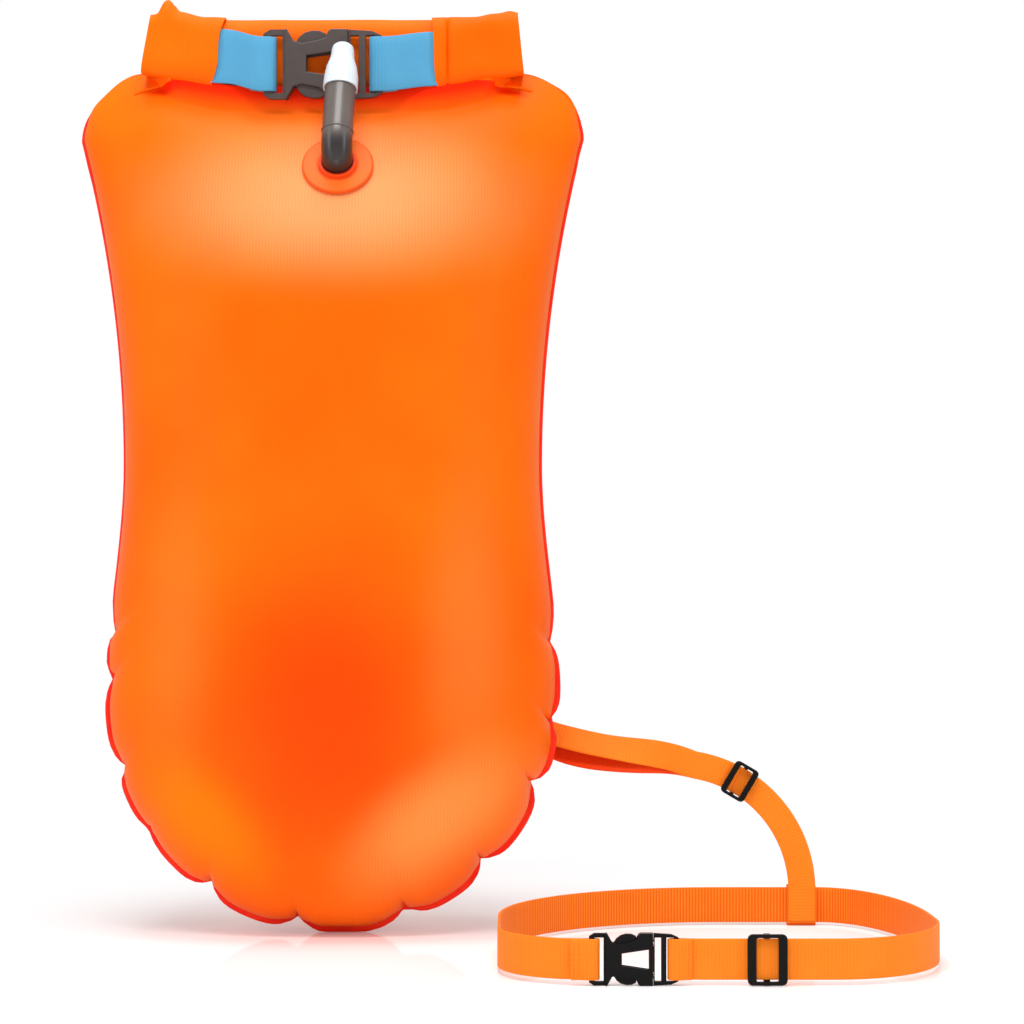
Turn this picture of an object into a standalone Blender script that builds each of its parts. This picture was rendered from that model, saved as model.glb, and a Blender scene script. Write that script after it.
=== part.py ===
"""Open water swim buoy: an inflated dry bag with a rolled neck, an oral valve, a leash and a waist belt.

Frame: X to the right, Y away from the viewer, Z up. The origin is on the ground under the bag's seam.
"""
import math

import bmesh
import bpy
from mathutils import Matrix, Vector

# General fits
clearance = 0.0003
overrun = 0.001

# Bag: the base's height is above the ground, and each rise or drop starts from the height that it names
bag_depth = 0.070
base_half_width = 0.128
base_height = 0.130
belly_rise = 0.020
waist_half_width = 0.1175
waist_rise = 0.132
shoulder_half_width = 0.141
shoulder_rise = 0.182
neck_half_width = 0.106
neck_rise = 0.0255
crown_drop = 0.1145
bag_centre_rise = 0.120
rest_cut = 0.0012
pucker_depth = 0.0085
lobe_power = 3.5
panel_thickness = 0.0012
rim_width = 0.003
rim_land = 0.004
rim_thickness = 0.0014
flare_power = 2
shoulder_power = 3
section_power = 2.2
crown_power = 1.5
crown_fullness = 0.7
pucker_reach = 8
panel_rings = 7
points_per_lobe = 4
side_steps = 8
shoulder_steps = 5
top_steps = 6

# Heights of the bag, worked out from its rises
belly_height = base_height + belly_rise
waist_height = base_height + waist_rise
shoulder_height = waist_height + shoulder_rise
neck_height = shoulder_height + neck_rise
crown_height = neck_height - crown_drop
bag_centre_height = base_height + bag_centre_rise

# Puckers along the bottom: share of a turn from straight down, share of the pucker depth
pucker_shares = (
    (-0.297, 0.45), (-0.267, 0.60), (-0.202, 0.80), (-0.155, 0.35), (-0.096, 0.95), (-0.026, 1.00),
    (0.055, 1.00), (0.122, 0.95), (0.190, 1.00), (0.236, 0.75), (0.291, 0.50),
)

# Dry pocket between the panels
pocket_half_depth = 0.005
pocket_wall = 0.0008
pocket_gap = 0.001
pocket_power = 4

# Rolled neck
sheet_thickness = 0.0016
roll_half_width = 0.105
roll_height = 0.039
roll_depth = 0.022
roll_pitch = 0.0034
roll_turns = 2.25
roll_lift = 0.0012
roll_squareness = 3.5
wrap_squareness = 9
roll_points_per_turn = 24
stiffener_thickness = 0.0012
stiffener_height = 0.012
wrap_thickness = 0.0012
wrap_left_edge = 0.066
wrap_right_edge = 0.0605
wrap_start_deg = 50
wrap_end_deg = 278

# Closure buckle and its straps
closure_webbing = 0.030
closure_strap_thickness = 0.0014
closure_centre_x = -0.0034
closure_rise = 0.012
closure_strap_rise = 0.006
closure_standoff = 0.0042
closure_strap_end = 0.084
closure_fold_length = 0.014

# Side-release buckle, as shares of its webbing width
buckle_half_length_share = 1.095
buckle_half_height_share = 0.637
buckle_window_share = 0.53
buckle_body_half_thickness_share = 0.135
buckle_bar_half_thickness_share = 0.055
buckle_cavity_half_thickness_share = 0.086
buckle_prong_half_thickness_share = 0.068
buckle_cavity_half_height_share = 0.51
buckle_bar_inner_share = 0.96
buckle_mouth_share = 0.455
buckle_pivot_share = (0.40, 0.37)
buckle_root_radius_share = 0.075

# Valve
valve_x = 0.006
valve_drop = 0.0473
valve_side_lean_deg = 2.2
valve_back_lean_deg = 20
flange_radius = 0.0195
flange_thickness = 0.0016
socket_radius = 0.0104
socket_height = 0.0040
spigot_radius = 0.0098
spigot_length = 0.0035
tube_radius = 0.0084
tube_bore_radius = 0.0055
elbow_bend_radius = 0.011
elbow_run = 0.0050
tube_top_height = 0.0405
tube_hidden_length = 0.0035
tube_ring_radius = 0.0089
throat_radius = 0.0034
throat_length = 0.013
neck_radius = 0.0067
neck_length = 0.0115
mouthpiece_length = 0.0272
mouthpiece_hole_radius = 0.0032
mouthpiece_cavity_radius = 0.0054
stem_radius = 0.0014
poppet_radius = 0.0048
poppet_thickness = 0.0014
seal_radius = 0.0006
seal_middle_radius = 0.0041
spring_wire_radius = 0.00035
spring_length = 0.0090
spring_turns = 5
valve_rise = 0.002

# Mouthpiece outside: radius and distance below its tip
mouthpiece_profile = (
    (0.0046, 0.0003), (0.0056, 0.0013), (0.0061, 0.0030), (0.0065, 0.0080), (0.0070, 0.0100), (0.0083, 0.0139),
    (0.0093, 0.0204), (0.0095, mouthpiece_length),
)

# Leash
leash_webbing = 0.0155
leash_thickness = 0.0014
leash_ring_spread = 0.0050
leash_slider_spread = 0.0018
leash_arc_radius = 0.073
leash_arc_centre_x = 0.1934
leash_arc_centre_z = 0.0200
leash_start_inset = 0.018
leash_start_drop = 0.017
leash_start_gap = 0.0092
leash_plane_y = 0.0246
leash_settle_x = 0.175
leash_sag = 0.0065
slider_turn_deg = 30.5
anchor_inset = 0.046
anchor_drop = 0.016
anchor_patch_length = 0.044
anchor_patch_width = 0.034
anchor_patch_thickness = 0.0012
ring_wire_radius = 0.0011

# Belt
belt_webbing = 0.020
belt_thickness = 0.0016
belt_left = 0.094
belt_right = 0.3195
belt_front = 0.190
belt_back = 0.029
belt_front_left_radius = 0.045
belt_back_left_radius = 0.125
belt_front_right_run = 0.062
belt_front_right_depth = 0.078
belt_back_right_run = 0.0445
belt_back_right_depth = 0.121
belt_buckle_x = 0.1599
belt_slider_x = 0.2245
belt_join_x = 0.2480
belt_tack_length = 0.009
belt_fold_end_x = 0.1880
belt_sleeve_x = 0.2662
belt_sleeve_width = 0.0165
slider_length = 0.0194
slider_rail = 0.0024
slider_thickness = 0.0026
slider_window_share = 0.56
slider_bar_share = 0.16

collection = None
cutters = None


def prepare_scene():
    """Empty the scene and make one collection for the buoy and one for its cutters."""
    global collection, cutters
    for item in list(bpy.data.objects):
        bpy.data.objects.remove(item)
    collection = bpy.data.collections.new("swim_buoy")
    cutters = bpy.data.collections.new("cutters")
    bpy.context.scene.collection.children.link(collection)
    bpy.context.scene.collection.children.link(cutters)


def make_material(name, colour, roughness, metallic=0):
    """A plain finish for one kind of piece."""
    material = bpy.data.materials.get(name)
    if material is None:
        material = bpy.data.materials.new(name)
        material.use_nodes = True
        shader = material.node_tree.nodes["Principled BSDF"]
        shader.inputs["Base Color"].default_value = (*colour, 1)
        shader.inputs["Roughness"].default_value = roughness
        shader.inputs["Metallic"].default_value = metallic
        material.diffuse_color = (*colour, 1)
    return material


def coated_fabric():
    return make_material("coated_fabric", (0.95, 0.16, 0.01), 0.45)


def weld_film():
    return make_material("weld_film", (0.85, 0.06, 0.01), 0.4)


def blue_webbing():
    return make_material("blue_webbing", (0.09, 0.37, 0.63), 0.8)


def orange_webbing():
    return make_material("orange_webbing", (1.0, 0.22, 0.02), 0.8)


def grey_acetal():
    return make_material("grey_acetal", (0.08, 0.07, 0.07), 0.45)


def black_acetal():
    return make_material("black_acetal", (0.01, 0.01, 0.01), 0.35)


def dark_elastomer():
    return make_material("dark_elastomer", (0.03, 0.03, 0.03), 0.25)


def white_plastic():
    return make_material("white_plastic", (0.85, 0.88, 0.9), 0.4)


def pocket_film():
    return make_material("pocket_film", (0.85, 0.25, 0.05), 0.5)


def steel_wire():
    return make_material("steel_wire", (0.6, 0.6, 0.62), 0.3, 1)


def link_mesh(name, mesh, material, target=None):
    """Put a mesh in the scene as a named object with one material."""
    item = bpy.data.objects.new(name, mesh)
    (target or collection).objects.link(item)
    item.data.materials.clear()
    item.data.materials.append(material)
    return item


def mesh_from(item):
    """Replace an object by the mesh that its curve or its modifiers give, with loose seams welded."""
    bpy.context.view_layer.update()
    evaluated = item.evaluated_get(bpy.context.evaluated_depsgraph_get())
    mesh = bpy.data.meshes.new_from_object(evaluated)
    shape = bmesh.new()
    shape.from_mesh(mesh)
    shape.transform(item.matrix_world)
    bmesh.ops.remove_doubles(shape, verts=shape.verts, dist=clearance / 100)
    bmesh.ops.recalc_face_normals(shape, faces=shape.faces)
    shape.to_mesh(mesh)
    shape.free()
    name = item.name
    material = item.data.materials[0] if item.data.materials else None
    homes = list(item.users_collection)
    bpy.data.objects.remove(item)
    fresh = bpy.data.objects.new(name, mesh)
    homes[0].objects.link(fresh)
    mesh.materials.clear()
    if material is not None:
        mesh.materials.append(material)
    return fresh


def smooth_round(item, angle_deg=35):
    """Smooth shading with sharp edges kept where faces meet at more than an angle."""
    item.data.shade_smooth()
    item.data.set_sharp_from_angle(angle=math.radians(angle_deg))


def as_cutter(item):
    """Keep a cutting shape out of the finished model."""
    for home in list(item.users_collection):
        home.objects.unlink(item)
    cutters.objects.link(item)
    item.hide_render = True
    item.display_type = "WIRE"
    return item


def combine(item, other, operation):
    """Cut, join or intersect an object with another and keep the result as a plain mesh."""
    modifier = item.modifiers.new(operation.lower(), "BOOLEAN")
    modifier.operation = operation
    modifier.solver = "EXACT"
    modifier.object = as_cutter(other)
    return mesh_from(item)


def block(name, low, high, material, target=None):
    """A rectangular solid between two corners."""
    mesh = bpy.data.meshes.new(name)
    shape = bmesh.new()
    bmesh.ops.create_cube(shape, size=1)
    size = Vector(high) - Vector(low)
    middle = (Vector(high) + Vector(low)) / 2
    shape.transform(Matrix.Translation(middle) @ Matrix.Diagonal((*size, 1)))
    shape.to_mesh(mesh)
    shape.free()
    return link_mesh(name, mesh, material, target)


def plate(name, outlines, half_thickness, material, frame, bevel=0):
    """A flat plate from closed outlines: the first is its edge and the others are its holes."""
    curve = bpy.data.curves.new(name, "CURVE")
    curve.dimensions = "2D"
    curve.fill_mode = "BOTH"
    curve.extrude = half_thickness - bevel
    curve.bevel_depth = bevel
    curve.bevel_resolution = 1
    curve.offset = -bevel
    for outline in outlines:
        spline = curve.splines.new("POLY")
        spline.points.add(len(outline) - 1)
        for point, (x, y) in zip(spline.points, outline):
            point.co = (x, y, 0, 1)
        spline.use_cyclic_u = True
    item = bpy.data.objects.new(name, curve)
    collection.objects.link(item)
    item.matrix_world = frame
    curve.materials.append(material)
    return mesh_from(item)


def tube(name, points, radius, material, resolution=2):
    """A round bar along a list of points, with flat ends."""
    curve = bpy.data.curves.new(name, "CURVE")
    curve.dimensions = "3D"
    curve.bevel_depth = radius
    curve.bevel_resolution = resolution
    curve.use_fill_caps = True
    spline = curve.splines.new("POLY")
    spline.points.add(len(points) - 1)
    for point, place in zip(spline.points, points):
        point.co = (*place, 1)
    item = bpy.data.objects.new(name, curve)
    collection.objects.link(item)
    curve.materials.append(material)
    return mesh_from(item)


def turned(name, profile, material, frame, steps=32):
    """A turned piece: a closed profile of radius and height, screwed about the local Z axis."""
    mesh = bpy.data.meshes.new(name)
    count = len(profile)
    edges = [(index, (index + 1) % count) for index in range(count)]
    edges = [(first, last) for first, last in edges if profile[first][0] > 0 or profile[last][0] > 0]
    mesh.from_pydata([(radius, 0, height) for radius, height in profile], edges, [])
    item = link_mesh(name, mesh, material)
    screw = item.modifiers.new("turn", "SCREW")
    screw.axis = "Z"
    screw.angle = math.tau
    screw.steps = steps
    screw.render_steps = steps
    screw.use_merge_vertices = True
    screw.merge_threshold = clearance / 100
    item.matrix_world = frame
    item = mesh_from(item)
    smooth_round(item)
    return item


def strap(name, stations, width, thickness, material):
    """A webbing strap: a grid laid along stations of place and edge direction, then thickened."""
    mesh = bpy.data.meshes.new(name)
    shape = bmesh.new()
    count = len(stations)
    bmesh.ops.create_grid(shape, x_segments=count - 1, y_segments=1, size=1)
    for vertex in shape.verts:
        index = round((vertex.co.x + 1) / 2 * (count - 1))
        place, edge = stations[index]
        vertex.co = place + edge * (vertex.co.y * width / 2)
    shape.to_mesh(mesh)
    shape.free()
    item = link_mesh(name, mesh, material)
    solidify = item.modifiers.new("thickness", "SOLIDIFY")
    solidify.thickness = thickness
    solidify.offset = 0
    solidify.use_even_offset = True
    return mesh_from(item)


def smooth_step(share):
    share = min(1, max(0, share))
    return share * share * (3 - 2 * share)


def arc(centre, radius, start_deg, end_deg, steps):
    """Points on an arc in a plane, both ends included."""
    points = []
    for step in range(steps + 1):
        angle = math.radians(start_deg + (end_deg - start_deg) * step / steps)
        points.append((centre[0] + radius * math.cos(angle), centre[1] + radius * math.sin(angle)))
    return points


# Bag form
def bag_half_width(height):
    """Half the width of the bag's outline at a height, before the puckers."""
    if height < base_height:
        drop = (base_height - height) / (base_height + rest_cut)
        return base_half_width * math.sqrt(max(0, 1 - drop ** 2))
    if height < waist_height:
        share = (height - base_height) / (waist_height - base_height)
        return base_half_width + (waist_half_width - base_half_width) * smooth_step(share)
    if height < shoulder_height:
        share = (height - waist_height) / (shoulder_height - waist_height)
        return waist_half_width + (shoulder_half_width - waist_half_width) * share ** flare_power
    share = min(1, (height - shoulder_height) / (neck_height - shoulder_height))
    corner = (1 - share ** shoulder_power) ** (1 / shoulder_power)
    return neck_half_width + (shoulder_half_width - neck_half_width) * corner


def bag_surface(x, height):
    """Distance of the inflated surface from the seam plane."""
    if height <= -rest_cut or height >= neck_height:
        return 0
    across = min(1, abs(x) / bag_half_width(height))
    section = math.sqrt(1 - across ** section_power)
    if height < belly_height:
        drop = (belly_height - height) / (belly_height + rest_cut)
        return bag_depth * section * math.sqrt(1 - drop ** 2)
    if height > crown_height:
        share = (height - crown_height) / (neck_height - crown_height)
        return bag_depth * section * (1 - share ** crown_power) ** crown_fullness
    return bag_depth * section


def outline_height(turn):
    """Height of the outline's lower part at a share of a turn from straight down."""
    return base_height - (base_height + rest_cut) * math.cos(math.tau * turn)


def bag_outline():
    """The weld rim's outer loop as (x, height, pucker), counter-clockwise from the lower left."""
    points = []
    for (turn, depth), (next_turn, next_depth) in zip(pucker_shares, pucker_shares[1:]):
        for step in range(points_per_lobe):
            share = step / points_per_lobe
            angle = turn + (next_turn - turn) * share
            height = outline_height(angle)
            fold = (depth + (next_depth - depth) * share) * abs(2 * share - 1) ** lobe_power
            points.append((math.copysign(bag_half_width(height), angle), height, fold))
    first_height = outline_height(pucker_shares[0][0])
    last_height = outline_height(pucker_shares[-1][0])
    right = [(bag_half_width(last_height), last_height, pucker_shares[-1][1])]
    left = [(-bag_half_width(first_height), first_height, pucker_shares[0][1])]
    for side, start in ((right, last_height), (left, first_height)):
        sign = 1 if side is right else -1
        for step in range(1, side_steps + 1):
            height = start + (shoulder_height - start) * step / side_steps
            side.append((sign * bag_half_width(height), height, 0))
        for step in range(1, shoulder_steps + 1):
            share = math.sin(math.pi / 2 * step / shoulder_steps) ** (2 / shoulder_power)
            height = shoulder_height + (neck_height - shoulder_height) * share
            side.append((sign * bag_half_width(height), height, 0))
    top = []
    for step in range(1, top_steps):
        top.append((neck_half_width * (1 - 2 * step / top_steps), neck_height, 0))
    return points + right + top + left[:0:-1]


def placed_outline(inset):
    """The outline in world X and Z, folded in at the puckers, moved inward and trimmed flat at the foot."""
    outline = bag_outline()
    count = len(outline)
    placed = []
    for index in range(count):
        x, height, fold = outline[index]
        before = Vector(outline[index - 1][:2])
        after = Vector(outline[(index + 1) % count][:2])
        along = (after - before).normalized()
        inward = Vector((-along.y, along.x))
        point = Vector((x, height)) + inward * (inset + fold * pucker_depth)
        placed.append((point.x, max(point.y, inset)))
    return placed


def bag_point(index, spread, outline, placed):
    """World X and Z, and the unfolded height, of a place between the bag's centre and its outline."""
    x, height, _ = outline[index]
    rim_x, rim_z = placed[index]
    flat = Vector((x * spread, bag_centre_height + (height - bag_centre_height) * spread))
    return flat + Vector((rim_x - x, rim_z - height)) * spread ** pucker_reach, flat


def build_panel(name, side):
    """One inflated panel: half a sphere stretched over the outline, thickened inward, cut at the seam."""
    outline = bag_outline()
    placed = placed_outline(rim_width)
    count = len(outline)
    mesh = bpy.data.meshes.new(name)
    shape = bmesh.new()
    bmesh.ops.create_uvsphere(shape, u_segments=count, v_segments=2 * panel_rings, radius=1)
    hidden = [vertex for vertex in shape.verts if vertex.co.z * side < -0.5 / panel_rings ** 2]
    bmesh.ops.delete(shape, geom=hidden, context="VERTS")
    for vertex in shape.verts:
        spread = min(1, math.hypot(vertex.co.x, vertex.co.y))
        index = round(math.atan2(vertex.co.y, vertex.co.x) / math.tau * count) % count
        place, flat = bag_point(index, spread, outline, placed)
        depth = bag_surface(flat.x, flat.y) if spread < 1 - 1 / panel_rings ** 3 else 0
        vertex.co = (place.x, -side * depth, place.y)
    shape.to_mesh(mesh)
    shape.free()
    item = link_mesh(name, mesh, coated_fabric())
    solidify = item.modifiers.new("thickness", "SOLIDIFY")
    solidify.thickness = panel_thickness
    solidify.offset = -1
    item = mesh_from(item)
    seam = rim_thickness / 2 + clearance
    reach = max(base_half_width, shoulder_half_width) + overrun
    low = (-reach, -seam if side > 0 else -bag_depth, -overrun)
    high = (reach, bag_depth if side > 0 else seam, neck_height + overrun)
    item = combine(item, block(name + "_seam", low, high, coated_fabric()), "DIFFERENCE")
    return item


def build_rim():
    """The welded seam that holds both panels, scalloped where the inflated bag puckers."""
    frame = Matrix.Rotation(math.pi / 2, 4, "X")
    outlines = [placed_outline(0), placed_outline(rim_width + rim_land)]
    return plate("weld_rim", outlines, rim_thickness / 2, weld_film(), frame)


def build_pocket():
    """The dry pocket: a flat pouch inside the air chamber with its mouth under the neck."""
    outline = bag_outline()
    placed = placed_outline(rim_width + rim_land + pocket_gap)
    count = len(outline)
    mesh = bpy.data.meshes.new("dry_pocket")
    shape = bmesh.new()
    bmesh.ops.create_uvsphere(shape, u_segments=count, v_segments=panel_rings - 1, radius=1)
    mouth = []
    for vertex in shape.verts:
        spread = min(1, math.hypot(vertex.co.x, vertex.co.y))
        index = round(math.atan2(vertex.co.y, vertex.co.x) / math.tau * count) % count
        place, _ = bag_point(index, spread, outline, placed)
        at_rim = abs(vertex.co.z) < 0.5 / panel_rings ** 2
        depth = 0 if at_rim else pocket_half_depth * math.sqrt(1 - spread ** pocket_power)
        if at_rim and outline[index][1] >= neck_height and abs(outline[index][0]) < neck_half_width * 0.9:
            mouth.append(vertex)
        vertex.co = (place.x, -math.copysign(depth, vertex.co.z), place.y)
    bmesh.ops.delete(shape, geom=mouth, context="VERTS")
    shape.to_mesh(mesh)
    shape.free()
    item = link_mesh("dry_pocket", mesh, pocket_film())
    solidify = item.modifiers.new("thickness", "SOLIDIFY")
    solidify.thickness = pocket_wall
    solidify.offset = -1
    return mesh_from(item)


# Rolled neck
roll_middle_z = neck_height + roll_lift + roll_height / 2
roll_middle_y = -roll_depth / 2 + sheet_thickness / 2
roll_front_y = roll_middle_y - roll_depth / 2


def roll_place(angle_deg, growth, squareness=roll_squareness):
    """A place on the roll's rounded section: growth moves it outward from the outer turn's middle."""
    angle = math.radians(angle_deg)
    half_depth = roll_depth / 2 - sheet_thickness / 2 + growth
    half_height = roll_height / 2 - sheet_thickness / 2 + growth
    power = 2 / squareness
    across = math.copysign(abs(math.cos(angle)) ** power, math.cos(angle))
    upward = math.copysign(abs(math.sin(angle)) ** power, math.sin(angle))
    return Vector((0, roll_middle_y + half_depth * across, roll_middle_z + half_height * upward))


def build_roll():
    """The neck sheet: up from the bag, then rolled forward and down about two turns."""
    edge = Vector((1, 0, 0))
    start = roll_place(0, 0)
    stations = [(Vector((0, start.y, neck_height + clearance)), edge)]
    steps = round(roll_turns * roll_points_per_turn)
    for step in range(steps + 1):
        turn = step / roll_points_per_turn
        stations.append((roll_place(360 * turn, -roll_pitch * turn), edge))
    item = strap("roll_neck", stations, 2 * roll_half_width, sheet_thickness, coated_fabric())
    smooth_round(item)
    return item


def build_stiffener():
    """The stiff strip in the mouth hem, at the core of the roll against its innermost turn."""
    inner = roll_place(0, -2 * roll_pitch).y - sheet_thickness / 2 - clearance
    low = (-roll_half_width + overrun, inner - stiffener_thickness, roll_middle_z - stiffener_height / 2)
    high = (roll_half_width - overrun, inner, roll_middle_z + stiffener_height / 2)
    return block("mouth_stiffener", low, high, white_plastic())


def build_wrap(name, side, inner_edge):
    """One end of the roll, turned over the closure strap so that the strap slips under it."""
    growth = sheet_thickness / 2 + closure_strap_thickness + wrap_thickness / 2 + 4 * clearance
    middle = side * (inner_edge + roll_half_width) / 2
    stations = []
    steps = roll_points_per_turn
    for step in range(steps + 1):
        angle = wrap_start_deg + (wrap_end_deg - wrap_start_deg) * step / steps
        stations.append((roll_place(angle, growth, wrap_squareness) + Vector((middle, 0, 0)), Vector((1, 0, 0))))
    item = strap(name, stations, roll_half_width - inner_edge, wrap_thickness, coated_fabric())
    smooth_round(item)
    return item


# Side-release buckles
def mirrored(half):
    """A closed outline from its upper half, which runs left to right."""
    return half + [(u, -v) for u, v in reversed(half)]


def scaled(points, size):
    return [(u * size, v * size) for u, v in points]


def buckle_frame(x, y, z, tilt_deg=0):
    """Local X along the webbing, local Y up its width and local Z towards the viewer."""
    turn = Matrix.Rotation(math.radians(90 + tilt_deg), 4, "X")
    return Matrix.Translation((x, y, z)) @ turn


def build_female(name, size, material, frame):
    """The socket half: ladder bar, waisted body, mouth band, prong cavity and centre window."""
    height = buckle_half_height_share
    outer_shares = [
        (-1.095, 0.56), (-0.97, height), (-0.66, height), (-0.54, 0.42), (-0.38, 0.375), (-0.10, 0.43),
        (0.04, 0.48), (0.10, 0.60), (0.15, height), (buckle_mouth_share, height),
    ]
    slot_shares = [(-buckle_bar_inner_share, buckle_window_share), (-0.742, buckle_window_share)]
    window_shares = [(-0.30, 0.147), (0.36, 0.245)]
    outlines = [mirrored(outer_shares), mirrored(slot_shares), mirrored(window_shares)]
    thickness = buckle_body_half_thickness_share * size
    item = plate(name, [scaled(outline, size) for outline in outlines], thickness, material, frame,
                 bevel=size * 0.02)
    cavity_half = buckle_cavity_half_height_share
    cavity_shares = [
        (-0.54, 0.30), (-0.50, 0.75), (0.10, 0.75), (0.10, cavity_half), (0.60, cavity_half),
    ]
    cavity = plate(name + "_cavity", [scaled(mirrored(cavity_shares), size)],
                   buckle_cavity_half_thickness_share * size, material, frame)
    item = combine(item, cavity, "DIFFERENCE")
    bar = buckle_bar_half_thickness_share * size
    for side in (-1, 1):
        low = (-1.2 * size, -0.8 * size, bar if side > 0 else -2 * thickness)
        high = (-0.69 * size, 0.8 * size, 2 * thickness if side > 0 else -bar)
        slab = block(name + "_slab", low, high, material)
        slab.matrix_world = frame
        item = combine(item, mesh_from(slab), "DIFFERENCE")
    return item


def build_male(name, size, material, frame):
    """The plug half without its prongs: plug, two rails, centre bar and strap bar."""
    pivot_u, pivot_v = buckle_pivot_share
    root = buckle_root_radius_share + clearance / size
    height = buckle_half_height_share
    join = buckle_mouth_share + clearance / size
    plug = buckle_cavity_half_height_share - 1.5 * clearance / size
    notch = arc((pivot_u, pivot_v), root, 270, 410, 6)
    outer_shares = notch + [(join, plug), (join, height), (0.90, 0.61), (1.05, 0.545), (1.095, 0.50)]
    first_slot_shares = [(0.50, buckle_window_share), (0.655, buckle_window_share)]
    second_slot_shares = [(0.782, buckle_window_share), (buckle_bar_inner_share, buckle_window_share)]
    outlines = [mirrored(outer_shares), mirrored(first_slot_shares), mirrored(second_slot_shares)]
    return plate(name, [scaled(outline, size) for outline in outlines],
                 buckle_prong_half_thickness_share * size, material, frame, bevel=size * 0.008)


def build_prong(name, size, side, material, frame):
    """One spring prong: round root in the plug, slim arm, catch shoulder and thumb pad."""
    pivot_u, pivot_v = buckle_pivot_share
    root = buckle_root_radius_share
    inner = pivot_v - root
    pad_shares = [
        (0.12, pivot_v + root), (0.055, 0.46), (0.045, 0.565), (-0.06, 0.615), (-0.20, 0.62), (-0.33, 0.585),
        (-0.43, 0.51), (-0.49, 0.42), (-0.50, 0.36), (-0.47, inner), (-0.20, inner),
    ]
    outline = arc((pivot_u, pivot_v), root, 270, 450, 8) + pad_shares
    item = plate(name, [[(u * size, side * v * size) for u, v in outline]],
                 buckle_prong_half_thickness_share * size, material, frame, bevel=size * 0.015)
    return item


def hinge_parent(name, place, children):
    """An empty on a joint's axis that carries the pieces that turn or slide with it."""
    empty = bpy.data.objects.new(name, None)
    collection.objects.link(empty)
    empty.location = place
    bpy.context.view_layer.update()
    for child in children:
        child.parent = empty
        child.matrix_parent_inverse = empty.matrix_world.inverted()


def build_buckle(prefix, size, material, frame):
    """Both halves of a side-release buckle and its two prongs."""
    build_female(prefix + "_buckle_female", size, material, frame)
    male = build_male(prefix + "_buckle_male", size, material, frame)
    pivot_u, pivot_v = buckle_pivot_share
    carried = [male]
    for label, side in (("upper", 1), ("lower", -1)):
        prong = build_prong(prefix + "_prong_" + label, size, side, material, frame)
        place = frame @ Vector((pivot_u * size, side * pivot_v * size, 0))
        hinge_parent(prefix + "_prong_" + label + "_pivot", place, [prong])
        carried.append(prong)
    hinge_parent(prefix + "_release_axis", frame.translation, [male])
    return carried


def closure_frame():
    y = roll_front_y - closure_standoff - clearance
    return buckle_frame(closure_centre_x, y - clearance, neck_height + closure_rise)


def build_closure_strap(name, side):
    """A closure strap: from under the roll's end, over the strap bar and back under itself."""
    size = closure_webbing
    thickness = closure_strap_thickness
    frame = closure_frame()
    centre = frame.translation
    bar_half = buckle_prong_half_thickness_share if side > 0 else buckle_bar_half_thickness_share
    radius = bar_half * size + clearance + thickness / 2
    slot_x = centre.x + side * buckle_bar_inner_share * size
    front_y = centre.y - radius
    back_y = centre.y + radius
    seat_y = roll_front_y - clearance - thickness / 2
    reach_x = side * closure_strap_end
    bend_x = side * (wrap_left_edge if side < 0 else wrap_right_edge)
    edge = Vector((0, 0, 1))
    stations = [(Vector((reach_x, seat_y, centre.z + closure_strap_rise)), edge)]
    steps = 6
    landing_x = centre.x + side * buckle_half_length_share * size
    for step in range(steps + 1):
        share = step / steps
        x = bend_x + (landing_x - bend_x) * share
        settle = smooth_step(share)
        y = seat_y + (front_y - seat_y) * settle
        stations.append((Vector((x, y, centre.z + closure_strap_rise * (1 - settle))), edge))
    turn = arc((0, 0), radius, -90, 90, 8)
    for x, y in turn:
        stations.append((Vector((slot_x - side * x, centre.y + y, centre.z)), edge))
    stations.append((Vector((landing_x + side * (closure_fold_length - size * 0.2), back_y, centre.z)), edge))
    return strap(name, stations, size, thickness, blue_webbing())


# Valve
def valve_surface():
    """The place on the front panel where the valve's flange sits, and the panel's pitch there."""
    height = neck_height - valve_drop
    depth = bag_surface(valve_x, height)
    slope = (depth - bag_surface(valve_x, height + clearance)) / clearance
    return Vector((valve_x, -depth, height)), math.atan(slope)


def valve_normal():
    """The outward direction of the front panel at the valve."""
    _, pitch = valve_surface()
    return Vector((0, -math.cos(pitch), math.sin(pitch)))


def valve_frame():
    """Local Z along the flange's normal, at the panel's surface."""
    place, pitch = valve_surface()
    turn = Matrix.Rotation(math.pi / 2 - pitch, 4, "X")
    return Matrix.Translation(place + valve_normal() * clearance) @ turn


def tube_direction():
    """The straight tube's direction: back over the roll and a little to the right."""
    turn = Matrix.Rotation(math.radians(-valve_back_lean_deg), 3, "X")
    return Matrix.Rotation(math.radians(valve_side_lean_deg), 3, "Y") @ turn @ Vector((0, 0, 1))


def elbow_reach():
    """Distance from either end of the elbow's bend to its corner."""
    return elbow_bend_radius * math.tan(valve_normal().angle(tube_direction()) / 2)


def tube_frame():
    """Local Z up the valve tube from the elbow's corner."""
    place, _ = valve_surface()
    corner = place + valve_normal() * (elbow_run + elbow_reach() + clearance)
    turn = Matrix.Rotation(math.radians(valve_side_lean_deg), 4, "Y")
    turn = turn @ Matrix.Rotation(math.radians(-valve_back_lean_deg), 4, "X")
    return Matrix.Translation(corner) @ turn


def build_flange():
    """The welded flange: a thin disc, a raised socket for the tube and a spigot through the panel."""
    bore = tube_radius + clearance
    edge = flange_thickness / 2
    profile = [
        (bore, socket_height), (socket_radius - edge / 2, socket_height),
        (socket_radius, socket_height - edge / 2), (socket_radius, flange_thickness + edge / 2),
        (socket_radius + edge / 2, flange_thickness), (flange_radius - edge, flange_thickness),
        (flange_radius, flange_thickness - edge), (flange_radius, 0),
        (spigot_radius, 0), (spigot_radius, -spigot_length), (bore, -spigot_length),
    ]
    return turned("valve_flange", profile, weld_film(), valve_frame(), 40)


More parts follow.
